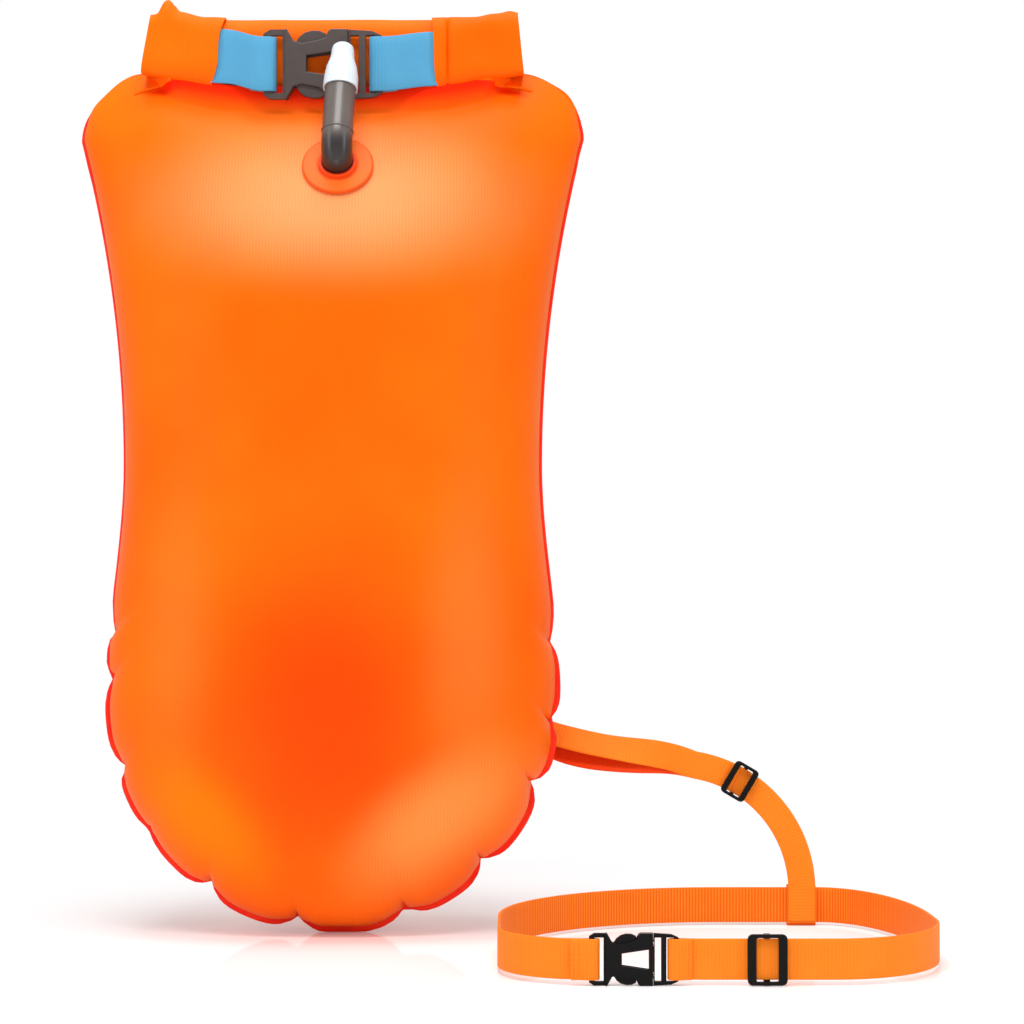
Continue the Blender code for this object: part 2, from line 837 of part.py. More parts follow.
def cut_port(panel):
    """The hole in the front panel that the flange's spigot passes through."""
    radius = spigot_radius + clearance
    reach = spigot_length * 3
    profile = [(0, reach), (radius, reach), (radius, -reach), (0, -reach)]
    cutter = turned("port_cutter", profile, weld_film(), valve_frame(), 32)
    return combine(panel, cutter, "DIFFERENCE")


def elbow_points(start_extra, end_height):
    """The tube's middle line: out of the socket, round the elbow and up its straight run."""
    normal = valve_normal()
    upward = tube_direction()
    corner = tube_frame().translation
    bend = normal.angle(upward)
    run = elbow_reach()
    first = corner - normal * run
    inward = (upward - normal * normal.dot(upward)).normalized()
    middle = first + inward * elbow_bend_radius
    points = [first - normal * (elbow_run + start_extra)]
    steps = 8
    for step in range(steps + 1):
        angle = bend * step / steps
        across = normal * math.sin(angle) - inward * math.cos(angle)
        points.append(middle + across * elbow_bend_radius)
    points.append(corner + upward * end_height)
    return points


def build_valve_tube():
    """The dark elbow tube: bored, with a throat and a slim neck under the mouthpiece."""
    lower = elbow_points(-clearance, tube_top_height)
    item = tube("valve_tube", lower, tube_radius, dark_elastomer(), 6)
    frame = tube_frame()
    neck = turned("valve_neck", [
        (neck_radius, tube_top_height + neck_length), (neck_radius, tube_top_height - overrun),
        (0, tube_top_height - overrun), (0, tube_top_height + neck_length),
    ][::-1], dark_elastomer(), frame, 24)
    item = combine(item, neck, "UNION")
    ring = turned("valve_ring", [
        (0, tube_radius), (tube_radius, tube_radius), (tube_ring_radius, tube_radius - overrun / 2),
        (tube_ring_radius, tube_radius - 1.5 * overrun), (tube_radius, tube_radius - 2 * overrun),
        (0, tube_radius - 2 * overrun),
    ], dark_elastomer(), frame, 32)
    item = combine(item, ring, "UNION")
    bore_top = tube_top_height + neck_length - throat_length
    bore = tube("valve_bore", elbow_points(overrun, bore_top), tube_bore_radius, dark_elastomer(), 4)
    item = combine(item, bore, "DIFFERENCE")
    throat = turned("valve_throat", [
        (0, tube_top_height + neck_length + overrun), (throat_radius, tube_top_height + neck_length + overrun),
        (throat_radius, bore_top - overrun), (0, bore_top - overrun),
    ], dark_elastomer(), frame, 24)
    item = combine(item, throat, "DIFFERENCE")
    smooth_round(item)
    return item


def build_mouthpiece():
    """The white mouthpiece: a flared skirt over the tube's end and a domed tip with its hole."""
    top = tube_top_height - tube_hidden_length + mouthpiece_length
    base = top - mouthpiece_length
    socket = tube_radius + clearance
    socket_top = tube_top_height + 2 * clearance
    inner = neck_radius + clearance
    neck_top = tube_top_height + neck_length + clearance
    inner_top = neck_top + poppet_thickness + 2 * seal_radius + valve_rise + 2 * clearance
    profile = [(mouthpiece_hole_radius, top)]
    profile += [(radius, top - below) for radius, below in mouthpiece_profile]
    profile += [
        (socket, base), (socket, socket_top), (inner, socket_top), (inner, neck_top),
        (mouthpiece_cavity_radius, neck_top), (mouthpiece_cavity_radius, inner_top),
        (mouthpiece_hole_radius, inner_top),
    ]
    return turned("mouthpiece", profile, white_plastic(), tube_frame(), 32)


def build_valve_core():
    """The poppet, its stem and the collar that the spring pushes on, in one turned piece."""
    frame = tube_frame()
    seat = tube_top_height + neck_length + 2 * seal_radius + clearance
    shoulder = tube_top_height + neck_length - throat_length
    collar_top = shoulder - spring_length - clearance
    profile = [
        (0, seat + poppet_thickness), (poppet_radius, seat + poppet_thickness), (poppet_radius, seat),
        (stem_radius, seat),
        (stem_radius, collar_top), (poppet_radius, collar_top), (poppet_radius, collar_top - poppet_thickness),
        (0, collar_top - poppet_thickness),
    ]
    core = turned("valve_core", profile, white_plastic(), frame, 24)
    ring_z = tube_top_height + neck_length + seal_radius + clearance / 2
    ring_profile = arc((seal_middle_radius, ring_z), seal_radius - clearance / 4, 360, 45, 7)
    seal = turned("valve_seal", ring_profile, dark_elastomer(), frame, 24)
    hinge_parent("core_axis", frame.translation, [core, seal])
    return core


def build_valve_spring():
    """The coil spring between the core's collar and the throat's shoulder."""
    frame = tube_frame()
    shoulder = tube_top_height + neck_length - throat_length
    radius = (throat_radius + tube_bore_radius) / 2 - clearance / 2
    low = shoulder - spring_length + spring_wire_radius
    high = shoulder - spring_wire_radius - clearance
    points_per_turn = 10
    points = []
    for step in range(spring_turns * points_per_turn + 1):
        share = step / (spring_turns * points_per_turn)
        angle = math.tau * spring_turns * share
        local = Vector((radius * math.cos(angle), radius * math.sin(angle), low + (high - low) * share))
        points.append(frame @ local)
    item = tube("valve_spring", points, spring_wire_radius, steel_wire(), 1)
    turn_gap = (high - low) / spring_turns - 2 * spring_wire_radius
    print("valve spring: gap between turns", round(turn_gap * 1000, 2), "mm")
    smooth_round(item, 60)
    return item


# Leash
leash_start_x = base_half_width - leash_start_inset
leash_start_z = base_height - leash_start_drop
leash_start_y = bag_surface(leash_start_x, leash_start_z) + leash_start_gap
anchor_x = base_half_width - anchor_inset
anchor_height = base_height - anchor_drop


def leash_height(x):
    """Height of the leash's middle line left of the arc."""
    entry_x = leash_arc_centre_x + 0.15 * leash_arc_radius
    entry_z = leash_arc_centre_z + leash_arc_radius * math.sqrt(1 - 0.15 ** 2)
    share = (x - leash_start_x) / (entry_x - leash_start_x)
    slope = -0.15 / math.sqrt(1 - 0.15 ** 2) * (entry_x - leash_start_x)
    start_slope = (entry_z - leash_start_z) * 1.2
    cubic = share ** 3
    square = share ** 2
    return ((2 * cubic - 3 * square + 1) * leash_start_z + (cubic - 2 * square + share) * start_slope
            + (3 * square - 2 * cubic) * entry_z + (cubic - square) * slope)


def leash_plane(x):
    """Distance of the leash behind the seam plane: it leaves the bag's back and settles on the belt."""
    share = (x - leash_start_x) / (leash_settle_x - leash_start_x)
    share = min(1, max(0, share))
    return leash_plane_y + (leash_start_y - leash_plane_y) * (1 - share) ** 2


def edge_across(points, index):
    """The strap's edge direction: square to its run and in the upright plane of the run."""
    before = points[max(0, index - 1)]
    after = points[min(len(points) - 1, index + 1)]
    along = (after - before).normalized()
    side = along.cross(Vector((0, 1, 0)))
    return -side.normalized()


def leash_spread(x):
    """Half the distance between the leash's two layers: they close up from the ring to the slider."""
    share = min(1, (x - leash_start_x) / (leash_settle_x - leash_start_x))
    return (leash_ring_spread + (leash_slider_spread - leash_ring_spread) * share) / 2


def leash_run(side, sag):
    """Places along one layer of the leash from the ring to the start of the arc."""
    entry_x = leash_arc_centre_x + 0.15 * leash_arc_radius
    points = []
    steps = 12
    for step in range(steps):
        share = step / steps
        x = leash_start_x + (entry_x - leash_start_x) * share
        drop = sag * math.sin(math.pi * share) ** 2
        points.append(Vector((x, leash_plane(x) + side * leash_spread(x), leash_height(x) - drop)))
    return points


def leash_arc(side, start_deg, end_deg, steps):
    """Places along one layer of the leash on its arc down to the belt."""
    centre = (leash_arc_centre_x, leash_arc_centre_z)
    y = leash_plane_y + side * leash_slider_spread / 2
    return [Vector((x, y, z)) for x, z in arc(centre, leash_arc_radius, start_deg, end_deg, steps)]


def ring_wrap(place, edge):
    """The leash's turn round the ring, from the return layer's start back to the main layer."""
    radius = leash_ring_spread / 2
    return [(place + Vector((x, y - radius, 0)), edge) for x, y in arc((0, 0), radius, 270, 100, 6)]


def leash_stations(points, ring_edge):
    """Stations of a leash layer: its edge turns from the ring's bar to square with its own run."""
    stations = []
    for index, place in enumerate(points):
        share = smooth_step(index / 4)
        edge = ring_edge + (edge_across(points, index) - ring_edge) * share
        stations.append((place, edge.normalized()))
    return stations


def build_leash(ring_edge):
    """The leash: a run from the ring past the slider and down to the belt, and its return layer."""
    entry_deg = math.degrees(math.acos(0.15))
    main = leash_run(1, leash_sag) + leash_arc(1, entry_deg, 0, 12)
    main.append(Vector((main[-1].x, main[-1].y, belt_lift + overrun)))
    stations = leash_stations(main, ring_edge)
    strap("leash_web", ring_wrap(*stations[0]) + stations, leash_webbing, leash_thickness, orange_webbing())
    slider_deg = 90 - slider_turn_deg
    back = leash_run(-1, 0) + leash_arc(-1, entry_deg, slider_deg + 2, 4)
    back[0].x += 2 * overrun
    strap("leash_return", leash_stations(back, ring_edge), leash_webbing, leash_thickness, orange_webbing())


def anchor_frame():
    """Local X along the back panel towards the leash, local Z outward."""
    step = clearance
    depth = bag_surface(anchor_x, anchor_height)
    slope_x = (bag_surface(anchor_x + step, anchor_height) - depth) / step
    slope_z = (bag_surface(anchor_x, anchor_height + step) - depth) / step
    normal = Vector((-slope_x, 1, -slope_z)).normalized()
    place = Vector((anchor_x, depth, anchor_height)) + normal * clearance
    pull = Vector((leash_start_x, leash_start_y, leash_start_z)) - place
    along = (pull - normal * pull.dot(normal)).normalized()
    turn = Matrix((along, normal.cross(along), normal)).transposed().to_4x4()
    return Matrix.Translation(place) @ turn


def rounded_rectangle(half_x, half_y, radius, steps=4):
    """A rectangle with round corners, counter-clockwise."""
    points = []
    for sign_x, sign_y, start in ((1, 1, 0), (-1, 1, 90), (-1, -1, 180), (1, -1, 270)):
        centre = (sign_x * (half_x - radius), sign_y * (half_y - radius))
        points += arc(centre, radius, start, start + 90, steps)
    return points


def build_anchor():
    """The welded patch on the back panel, its webbing loop and the ring that the leash passes through."""
    frame = anchor_frame()
    half = anchor_patch_thickness / 2
    outline = rounded_rectangle(anchor_patch_length / 2, anchor_patch_width / 2, anchor_patch_width / 4)
    plate("anchor_patch", [outline], half, weld_film(), frame @ Matrix.Translation((0, 0, half)))
    loop_radius = ring_wire_radius + clearance + leash_thickness / 2
    low = 2 * half + clearance + leash_thickness / 2
    ring_x = anchor_patch_length / 2
    stations = []
    edge = frame.to_3x3() @ Vector((0, 1, 0))
    path = [(-anchor_patch_length / 3, low), (ring_x - loop_radius, low)]
    path += [(ring_x - loop_radius + x, low + loop_radius + y)
             for x, y in arc((0, 0), loop_radius, -75, 90, 6)]
    path += [(-anchor_patch_length / 4, low + 2 * loop_radius)]
    for x, z in path:
        stations.append((frame @ Vector((x, 0, z)), edge))
    strap("anchor_loop", stations, leash_webbing, leash_thickness, orange_webbing())
    bar_x = ring_x - loop_radius
    bar = frame @ Vector((bar_x, 0, low + loop_radius))
    tip = Vector((leash_start_x, leash_start_y, leash_start_z))
    return build_ring(bar, edge, tip)


def build_ring(bar, edge, tip):
    """The wire ring: a rounded rectangle from the anchor loop's turn to the leash's turn."""
    along = (tip - bar).normalized()
    across = (edge - along * edge.dot(along)).normalized()
    half_height = leash_webbing / 2 + clearance + ring_wire_radius + overrun
    length = (tip - bar).length
    loop = rounded_rectangle(length / 2, half_height, ring_wire_radius * 2)
    points = [bar + along * (length / 2 + x) + across * y for x, y in loop]
    curve = bpy.data.curves.new("leash_ring", "CURVE")
    curve.dimensions = "3D"
    curve.bevel_depth = ring_wire_radius
    curve.bevel_resolution = 2
    spline = curve.splines.new("POLY")
    spline.points.add(len(points) - 1)
    for point, place in zip(spline.points, points):
        point.co = (*place, 1)
    spline.use_cyclic_u = True
    item = bpy.data.objects.new("leash_ring", curve)
    collection.objects.link(item)
    curve.materials.append(steel_wire())
    item = mesh_from(item)
    smooth_round(item, 60)
    return across if across.z > 0 else -across


def slider_frame_outlines(length, webbing):
    half_length = length / 2
    half_height = webbing / 2 + slider_rail
    window_x = half_length * slider_window_share
    window_y = webbing / 2 + 2 * clearance
    return [rounded_rectangle(half_length, half_height, slider_rail, 3),
            rounded_rectangle(window_x, window_y, slider_rail / 3, 2)]


def build_slider(name, frame, length, webbing, layers, material):
    """A strap slider: a frame in front of the webbing and a centre bar behind it."""
    gap = layers / 2 + clearance
    front = gap + slider_thickness / 2
    outlines = slider_frame_outlines(length, webbing)
    item = plate(name, outlines, slider_thickness / 2, material,
                 frame @ Matrix.Translation((0, 0, front)), bevel=slider_thickness / 5)
    bar_half = length * slider_bar_share / 2
    reach_y = webbing / 2 + slider_rail - clearance
    side_y = webbing / 2 + 2 * clearance
    low = -gap - slider_rail
    saddle_outline = [(-reach_y, low), (reach_y, low), (reach_y, front), (side_y, front), (side_y, -gap),
                      (-side_y, -gap), (-side_y, front), (-reach_y, front)]
    stand = Matrix(((0, 0, 1), (1, 0, 0), (0, 1, 0))).to_4x4()
    saddle = plate(name + "_saddle", [saddle_outline], bar_half, material, frame @ stand)
    return combine(item, saddle, "UNION")


def build_leash_slider():
    slider_deg = 90 - slider_turn_deg
    centre = (leash_arc_centre_x, leash_arc_centre_z)
    x, z = arc(centre, leash_arc_radius, slider_deg, slider_deg, 1)[0]
    place = Vector((x, leash_plane_y, z))
    turn = Matrix.Rotation(math.radians(90), 4, "X") @ Matrix.Rotation(math.radians(slider_deg - 90), 4, "Z")
    frame = Matrix.Translation(place) @ turn
    layers = leash_slider_spread + leash_thickness
    item = build_slider("leash_slider", frame, slider_length * leash_webbing / belt_webbing, leash_webbing,
                        layers, black_acetal())
    axis = Vector((leash_arc_centre_x, leash_plane_y, leash_arc_centre_z))
    hinge_parent("leash_slider_axis", axis, [item])
    return item


# Belt
belt_lift = leash_thickness + clearance
belt_tilt = math.asin(((buckle_half_height_share - 0.5) * belt_webbing - belt_lift) / (belt_front + belt_back))


def belt_frame():
    """The belt's plane: the sleeve lifts it at the back and the wider buckle lifts it at the front."""
    lift = Matrix.Translation((0, belt_back, belt_lift)) @ Matrix.Rotation(-belt_tilt, 4, "X")
    return lift @ Matrix.Translation((0, -belt_back, belt_webbing / 2))


def belt_corner(corner_x, corner_y, run, depth, start_deg, steps):
    """A quarter of an ellipse that rounds one corner of the belt's loop."""
    sign_x = 1 if corner_x > (belt_left + belt_right) / 2 else -1
    sign_y = 1 if corner_y > 0 else -1
    turn = arc((0, 0), 1, start_deg, start_deg + 90, steps)
    return [(corner_x - sign_x * run + x * run, corner_y - sign_y * depth + y * depth) for x, y in turn]


def belt_stations(points):
    frame = belt_frame()
    edge = frame.to_3x3() @ Vector((0, 0, 1))
    return [(frame @ Vector((x, y, 0)), edge) for x, y in points]


def build_belt():
    """The belt webbing: the long run round the back and the short front run to the plug half."""
    size = belt_webbing
    female_bar = belt_buckle_x - buckle_bar_inner_share * size
    male_bar = belt_buckle_x + buckle_bar_inner_share * size
    layer = belt_thickness / 2 + clearance / 2
    female_half = buckle_bar_half_thickness_share * size
    male_half = buckle_prong_half_thickness_share * size
    female_radius = female_half + clearance + belt_thickness / 2
    male_radius = male_half + clearance + belt_thickness / 2
    ear = buckle_half_length_share * size
    straight = (belt_join_x + clearance, -belt_front)
    points = [straight]
    points += belt_corner(belt_right, -belt_front, belt_front_right_run, belt_front_right_depth, -90, 12)
    points += belt_corner(belt_right, belt_back, belt_back_right_run, belt_back_right_depth, 0, 14)
    points += belt_corner(belt_left, belt_back, belt_back_left_radius, belt_back_left_radius, 90, 14)
    points += belt_corner(belt_left, -belt_front, belt_front_left_radius, belt_front_left_radius, 180, 8)[:-2]
    eye_x = belt_buckle_x - ear
    points += [(eye_x - belt_tack_length / 3, -belt_front + layer), (eye_x, -belt_front + female_radius)]
    points += [(female_bar + x, -belt_front + y) for x, y in arc((0, 0), female_radius, 90, -90, 8)]
    points += [(eye_x, -belt_front - female_radius), (eye_x - belt_tack_length / 3, -belt_front - layer),
               (eye_x - belt_tack_length, -belt_front - layer)]
    main = strap("belt_web", belt_stations(points), size, belt_thickness, orange_webbing())
    eye_x = belt_buckle_x + ear
    points = [(belt_join_x, -belt_front), (belt_fold_end_x + belt_tack_length / 2, -belt_front)]
    points += [(eye_x + belt_tack_length / 3, -belt_front + layer), (eye_x, -belt_front + male_radius)]
    points += [(male_bar - x, -belt_front + y) for x, y in arc((0, 0), male_radius, 90, -90, 8)]
    points += [(eye_x, -belt_front - male_radius), (eye_x + belt_tack_length / 3, -belt_front - layer),
               (belt_fold_end_x, -belt_front - layer)]
    strap("belt_front_web", belt_stations(points), size, belt_thickness, orange_webbing())
    return main


def build_belt_hardware():
    """The belt's buckle and slider, in the tilted plane of its front run."""
    tilt = math.degrees(belt_tilt)
    frame = belt_frame()
    centre = frame @ Vector((belt_buckle_x, -belt_front, 0))
    build_buckle("belt", belt_webbing, black_acetal(), buckle_frame(*centre, -tilt))
    centre = frame @ Vector((belt_slider_x, -belt_front, 0))
    item = build_slider("belt_slider", buckle_frame(*centre, -tilt), slider_length, belt_webbing,
                        belt_thickness, black_acetal())
    hinge_parent("belt_slider_axis", centre, [item])


def build_sleeve():
    """The sewn sleeve that ties the leash's end to the belt."""
    frame = belt_frame()
    thickness = leash_thickness
    gap = belt_thickness / 2 + clearance
    outer = gap + thickness
    half_height = belt_webbing / 2 + clearance
    outer_loop = rounded_rectangle(outer, half_height + thickness, thickness, 2)
    inner_loop = rounded_rectangle(gap, half_height, thickness / 4, 2)
    turn = Matrix(((0, 0, 1), (1, 0, 0), (0, 1, 0))).to_4x4()
    place = frame @ Matrix.Translation((belt_sleeve_x, belt_back, 0)) @ turn
    return plate("leash_sleeve", [outer_loop, inner_loop], belt_sleeve_width / 2, orange_webbing(), place)


def build_all():
    prepare_scene()
    build_rim()
    front = build_panel("front_panel", 1)
    front = cut_port(front)
    back = build_panel("back_panel", -1)
    for item in (front, back, build_pocket()):
        smooth_round(item, 40)
    build_roll()
    build_stiffener()
    build_wrap("roll_end_left", -1, wrap_left_edge)
    build_wrap("roll_end_right", 1, wrap_right_edge)
    build_buckle("closure", closure_webbing, grey_acetal(), closure_frame())
    build_closure_strap("closure_strap_left", -1)
    build_closure_strap("closure_strap_right", 1)
    build_flange()
    build_valve_tube()
    build_mouthpiece()
    build_valve_core()
    build_valve_spring()
    build_leash(build_anchor())
    build_leash_slider()
    build_belt()
    build_belt_hardware()
    build_sleeve()
    bpy.context.view_layer.update()


build_all()
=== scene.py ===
# %% [markdown]
# # An open water swim buoy, dressed for a product picture
#
# The CAD frame gives the hard parts of the buoy: buckles, sliders, valve and ring. This lesson makes the
# soft parts over it: an inflated bag with a puckered weld rim, a rolled neck, and flat webbing. It then
# gives every part a procedural finish and lights it as a white studio picture.
#
# The frame is in metres: X to the right, Y away from the viewer and Z up from the ground.

# %% Load the frame
import math

import bmesh
import bpy
import numpy as np
from mathutils import Matrix, Vector, noise
from mathutils.bvhtree import BVHTree


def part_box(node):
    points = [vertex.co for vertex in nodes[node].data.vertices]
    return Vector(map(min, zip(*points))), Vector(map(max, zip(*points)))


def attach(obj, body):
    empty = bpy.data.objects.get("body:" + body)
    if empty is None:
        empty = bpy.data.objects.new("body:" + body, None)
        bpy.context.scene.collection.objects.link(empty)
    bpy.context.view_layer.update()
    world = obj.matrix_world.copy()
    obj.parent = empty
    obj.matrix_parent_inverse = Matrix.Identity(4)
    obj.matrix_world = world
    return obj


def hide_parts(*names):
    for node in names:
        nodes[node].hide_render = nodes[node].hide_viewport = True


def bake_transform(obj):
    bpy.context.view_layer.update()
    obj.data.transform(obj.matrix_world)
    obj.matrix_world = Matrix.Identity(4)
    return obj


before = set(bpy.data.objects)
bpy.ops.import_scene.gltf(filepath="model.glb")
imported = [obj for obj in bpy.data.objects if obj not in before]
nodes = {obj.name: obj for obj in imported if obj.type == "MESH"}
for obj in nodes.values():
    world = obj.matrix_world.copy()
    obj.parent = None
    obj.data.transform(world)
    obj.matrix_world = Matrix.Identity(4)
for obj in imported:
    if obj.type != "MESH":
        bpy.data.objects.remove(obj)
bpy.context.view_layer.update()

# %% [markdown]
# ## Camera
#
# The photograph looks level at the buoy from about 1.4 m, with its horizon above the middle of the picture.
# A level camera with a vertical shift keeps the bag's sides upright, as a product photographer's lens does.

# %% Camera
camera_place = (0.1006, -1.404, 0.192)
camera_lens_mm = 87.89
camera_shift = 0.0762

bpy.ops.object.camera_add(location=camera_place, rotation=(math.radians(90), 0, 0))
camera = bpy.context.object
camera.data.lens = camera_lens_mm
camera.data.shift_y = camera_shift
bpy.context.scene.camera = camera
bpy.context.scene.view_settings.view_transform = "Standard"
print("camera", tuple(round(value, 3) for value in camera.location))

# %% [markdown]
# ## Colours and nodes
#
# Colours are written as the sRGB hex values that a picture editor shows. Shaders work in linear light, so one
# function turns them over. A second small function adds a shader node, sets it and links its inputs: every
# material below is a few lines of it.

# %% Colours and nodes
def colour(code):
    """Linear red, green, blue and alpha from an sRGB hex code."""
    parts = [int(code[start:start + 2], 16) / 255 for start in (1, 3, 5)]
    linear = [part / 12.92 if part <= 0.04045 else ((part + 0.055) / 1.055) ** 2.4 for part in parts]
    return (*linear, 1)


def add_node(tree, kind, inputs=None, **settings):
    """Adds a shader node. An input is a number, a colour or another node's output."""
    item = tree.nodes.new("ShaderNode" + kind)
    for name, value in settings.items():
        setattr(item, name, value)
    for socket, value in (inputs or {}).items():
        if isinstance(value, bpy.types.NodeSocket):
            tree.links.new(value, item.inputs[socket])
        else:
            item.inputs[socket].default_value = value
    return item


def new_material(name, view_colour):
    """A material with an empty tree, its shader and its output."""
    material = bpy.data.materials.new(name)
    material.use_nodes = True
    material.diffuse_color = view_colour
    tree = material.node_tree
    tree.nodes.clear()
    shader = add_node(tree, "BsdfPrincipled")
    add_node(tree, "OutputMaterial", {"Surface": shader.outputs[0]})
    return material, tree, shader


def fill(shader, tree, **values):
    """Sets or links the shader's inputs, with spaces written as underscores."""
    for name, value in values.items():
        socket = shader.inputs[name.replace("_", " ")]
        if isinstance(value, bpy.types.NodeSocket):
            tree.links.new(value, socket)
        else:
            socket.default_value = value


def ramp(tree, factor, *stops):
    """A colour ramp from (place, colour) stops."""
    item = add_node(tree, "ValToRGB", {0: factor})
    band = item.color_ramp
    band.elements[0].position, band.elements[0].color = stops[0]
    band.elements[1].position, band.elements[1].color = stops[-1]
    for place, value in stops[1:-1]:
        band.elements.new(place).color = value
    return item.outputs[0]


def calculate(tree, operation, first, second=0.0, clamp=False):
    """One step of arithmetic on shader values."""
    return add_node(tree, "Math", {0: first, 1: second}, operation=operation, use_clamp=clamp).outputs[0]


def mix_colour(tree, factor, first, second, blend="MIX"):
    """Two colours mixed by a factor."""
    item = add_node(tree, "Mix", {0: factor, 6: first, 7: second}, data_type="RGBA", blend_type=blend)
    return item.outputs[2]


print("helpers ready")

# %% [markdown]
# ## Studio
#
# The floor and the background are white to the camera and to mirror-like rays, so the picture has a white
# page behind the buoy. The floor itself stays a plain pale surface, so it still takes the buoy's shadow.
# Big soft lamps stand where the photograph's long highlights come from: one above in front and a tall one
# at each side.

# %% Studio
floor_size = 8.0
room_light = 0.34
page_white = colour("#FFFFFF")


def build_world():
    """A white page for the camera and a soft grey-white room for the light."""
    world = bpy.data.worlds.new("studio")
    bpy.context.scene.world = world
    world.use_nodes = True
    tree = world.node_tree
    tree.nodes.clear()
    rays = add_node(tree, "LightPath")
    seen = calculate(tree, "MAXIMUM", rays.outputs["Is Camera Ray"], rays.outputs["Is Transmission Ray"])
    seen = calculate(tree, "MAXIMUM", seen, rays.outputs["Is Glossy Ray"])
    room = add_node(tree, "Background", {"Color": page_white, "Strength": room_light})
    page = add_node(tree, "Background", {"Color": page_white, "Strength": 1.0})
    both = add_node(tree, "MixShader", {0: seen, 1: room.outputs[0], 2: page.outputs[0]})
    add_node(tree, "OutputWorld", {"Surface": both.outputs[0]})


def build_floor():
    """A glossy white table: white to the camera, darker where the buoy shades it, with a faint mirror."""
    bpy.ops.mesh.primitive_plane_add(size=floor_size, location=(0, 0, 0))
    floor = bpy.context.object
    floor.name = "studio_floor"
    material = bpy.data.materials.new("studio_floor")
    material.use_nodes = True
    tree = material.node_tree
    tree.nodes.clear()
    matt = add_node(tree, "BsdfDiffuse", {"Color": colour("#F7F7F8")})
    mirror = add_node(tree, "BsdfGlossy", {"Color": page_white, "Roughness": 0.05})
    table = add_node(tree, "MixShader", {0: 0.16, 1: matt.outputs[0], 2: mirror.outputs[0]})
    page = add_node(tree, "Emission", {"Color": page_white, "Strength": 1.0})
    lift = add_node(tree, "Emission", {"Color": page_white, "Strength": 0.10})
    place = add_node(tree, "TexCoord").outputs["Object"]
    reach = add_node(tree, "VectorMath", {0: place, 1: (0.12, -0.02, 0)}, operation="DISTANCE").outputs["Value"]
    fade = add_node(tree, "MapRange", {0: reach, 1: 0.22, 2: 0.44, 3: 0.0, 4: 1.0}, interpolation_type="SMOOTHSTEP")
    rays = add_node(tree, "LightPath")
    seen = calculate(tree, "MULTIPLY", rays.outputs["Is Camera Ray"], fade.outputs[0])
    dark = add_node(tree, "Emission", {"Color": page_white, "Strength": 0.0})
    glow = add_node(tree, "MixShader", {0: rays.outputs["Is Camera Ray"], 1: dark.outputs[0], 2: lift.outputs[0]})
    lifted = add_node(tree, "AddShader", {0: table.outputs[0], 1: glow.outputs[0]})
    both = add_node(tree, "MixShader", {0: seen, 1: lifted.outputs[0], 2: page.outputs[0]})
    add_node(tree, "OutputMaterial", {"Surface": both.outputs[0]})
    floor.data.materials.append(material)


def add_lamp(name, place, aim, width, height, power):
    """An area lamp at a place, turned to its aim."""
    bpy.ops.object.light_add(type="AREA", location=place)
    lamp = bpy.context.object
    lamp.name = name
    lamp.data.shape = "RECTANGLE"
    lamp.data.size = width
    lamp.data.size_y = height
    lamp.data.energy = power
    lamp.rotation_euler = (Vector(aim) - Vector(place)).to_track_quat("-Z", "Y").to_euler()
    return lamp


build_world()
build_floor()
bag_middle = (0, 0, 0.26)
add_lamp("top_front", (0.0, -0.95, 1.45), (0, 0, 0.36), 0.9, 0.25, 10)
add_lamp("overhead", (0.05, -0.20, 1.60), (0.05, 0, 0.0), 0.8, 0.6, 11)
add_lamp("left_strip", (-1.1, -0.75, 0.45), bag_middle, 0.30, 1.3, 5)
add_lamp("right_strip", (1.25, -0.75, 0.45), bag_middle, 0.30, 1.3, 5)
fill_lamp = add_lamp("front_fill", (0.1, -2.3, 0.15), bag_middle, 1.6, 0.6, 8)
fill_lamp.visible_glossy = False
back_lamp = add_lamp("back_fill", (0.1, 1.9, 0.8), bag_middle, 1.6, 1.2, 6)
back_lamp.visible_glossy = False

# %% [markdown]
# ## Finishes
#
# The bag is a thin plain-woven fabric under a clear flexible coat: a strong orange with a soft shine, in
# which the threads show as very fine upright lines. The webbing is ribbed nylon or polypropylene, and the
# buckles are moulded acetal with a fine spark-eroded grain.

# %% Finishes
# Real thread pitch is about 0.35 mm. It is drawn at 1.7 mm, because a 1024 pixel picture can't show less.
thread_pitch = 0.0017
web_rib_pitch = 0.0018

# Painted light on both panels, as soft ovals: painted shade low in the middle and at mid height, a painted
# highlight over the crown, painted highlights low on each side and up both sides, and painted shade under
# the shoulder pleats. Each has its middle x and z, half width and half height, slope in degrees, strength and colour
painted_light_patches = (
    ((0.002, 0.128), (0.100, 0.135), 0, 0.80, "#F83C00"),
    ((0.000, 0.335), (0.080, 0.065), 0, 0.30, "#F86000"),
    ((0.004, 0.404), (0.150, 0.066), 0, 0.52, "#FFB47C"),
    ((-0.068, 0.066), (0.070, 0.040), -45, 0.62, "#FF8C00"),
    ((0.060, 0.066), (0.088, 0.044), 38, 0.70, "#FFA654"),
    ((-0.082, 0.170), (0.034, 0.120), 0, 0.24, "#FF8838"),
    ((0.076, 0.165), (0.036, 0.130), 0, 0.32, "#FF8C40"),
    ((-0.090, 0.4712), (0.020, 0.0055), 16, 0.90, "#DC1400"),
    ((0.099, 0.4695), (0.016, 0.0045), -12, 0.85, "#E01800"),
)


def thread_waves(tree, place, pitch_x, pitch_z):
    """Fine upright and level thread waves, as one height value."""
    upright = add_node(tree, "TexWave", {"Vector": place, "Scale": math.pi / 10 / pitch_x, "Distortion": 0.0},
                       wave_type="BANDS", bands_direction="X", wave_profile="SIN")
    level = add_node(tree, "TexWave", {"Vector": place, "Scale": math.pi / 10 / pitch_z, "Distortion": 0.0},
                     wave_type="BANDS", bands_direction="Z", wave_profile="SIN")
    return add_node(tree, "Mix", {0: 0.12, 2: upright.outputs["Fac"], 3: level.outputs["Fac"]},
                    data_type="FLOAT").outputs[0]


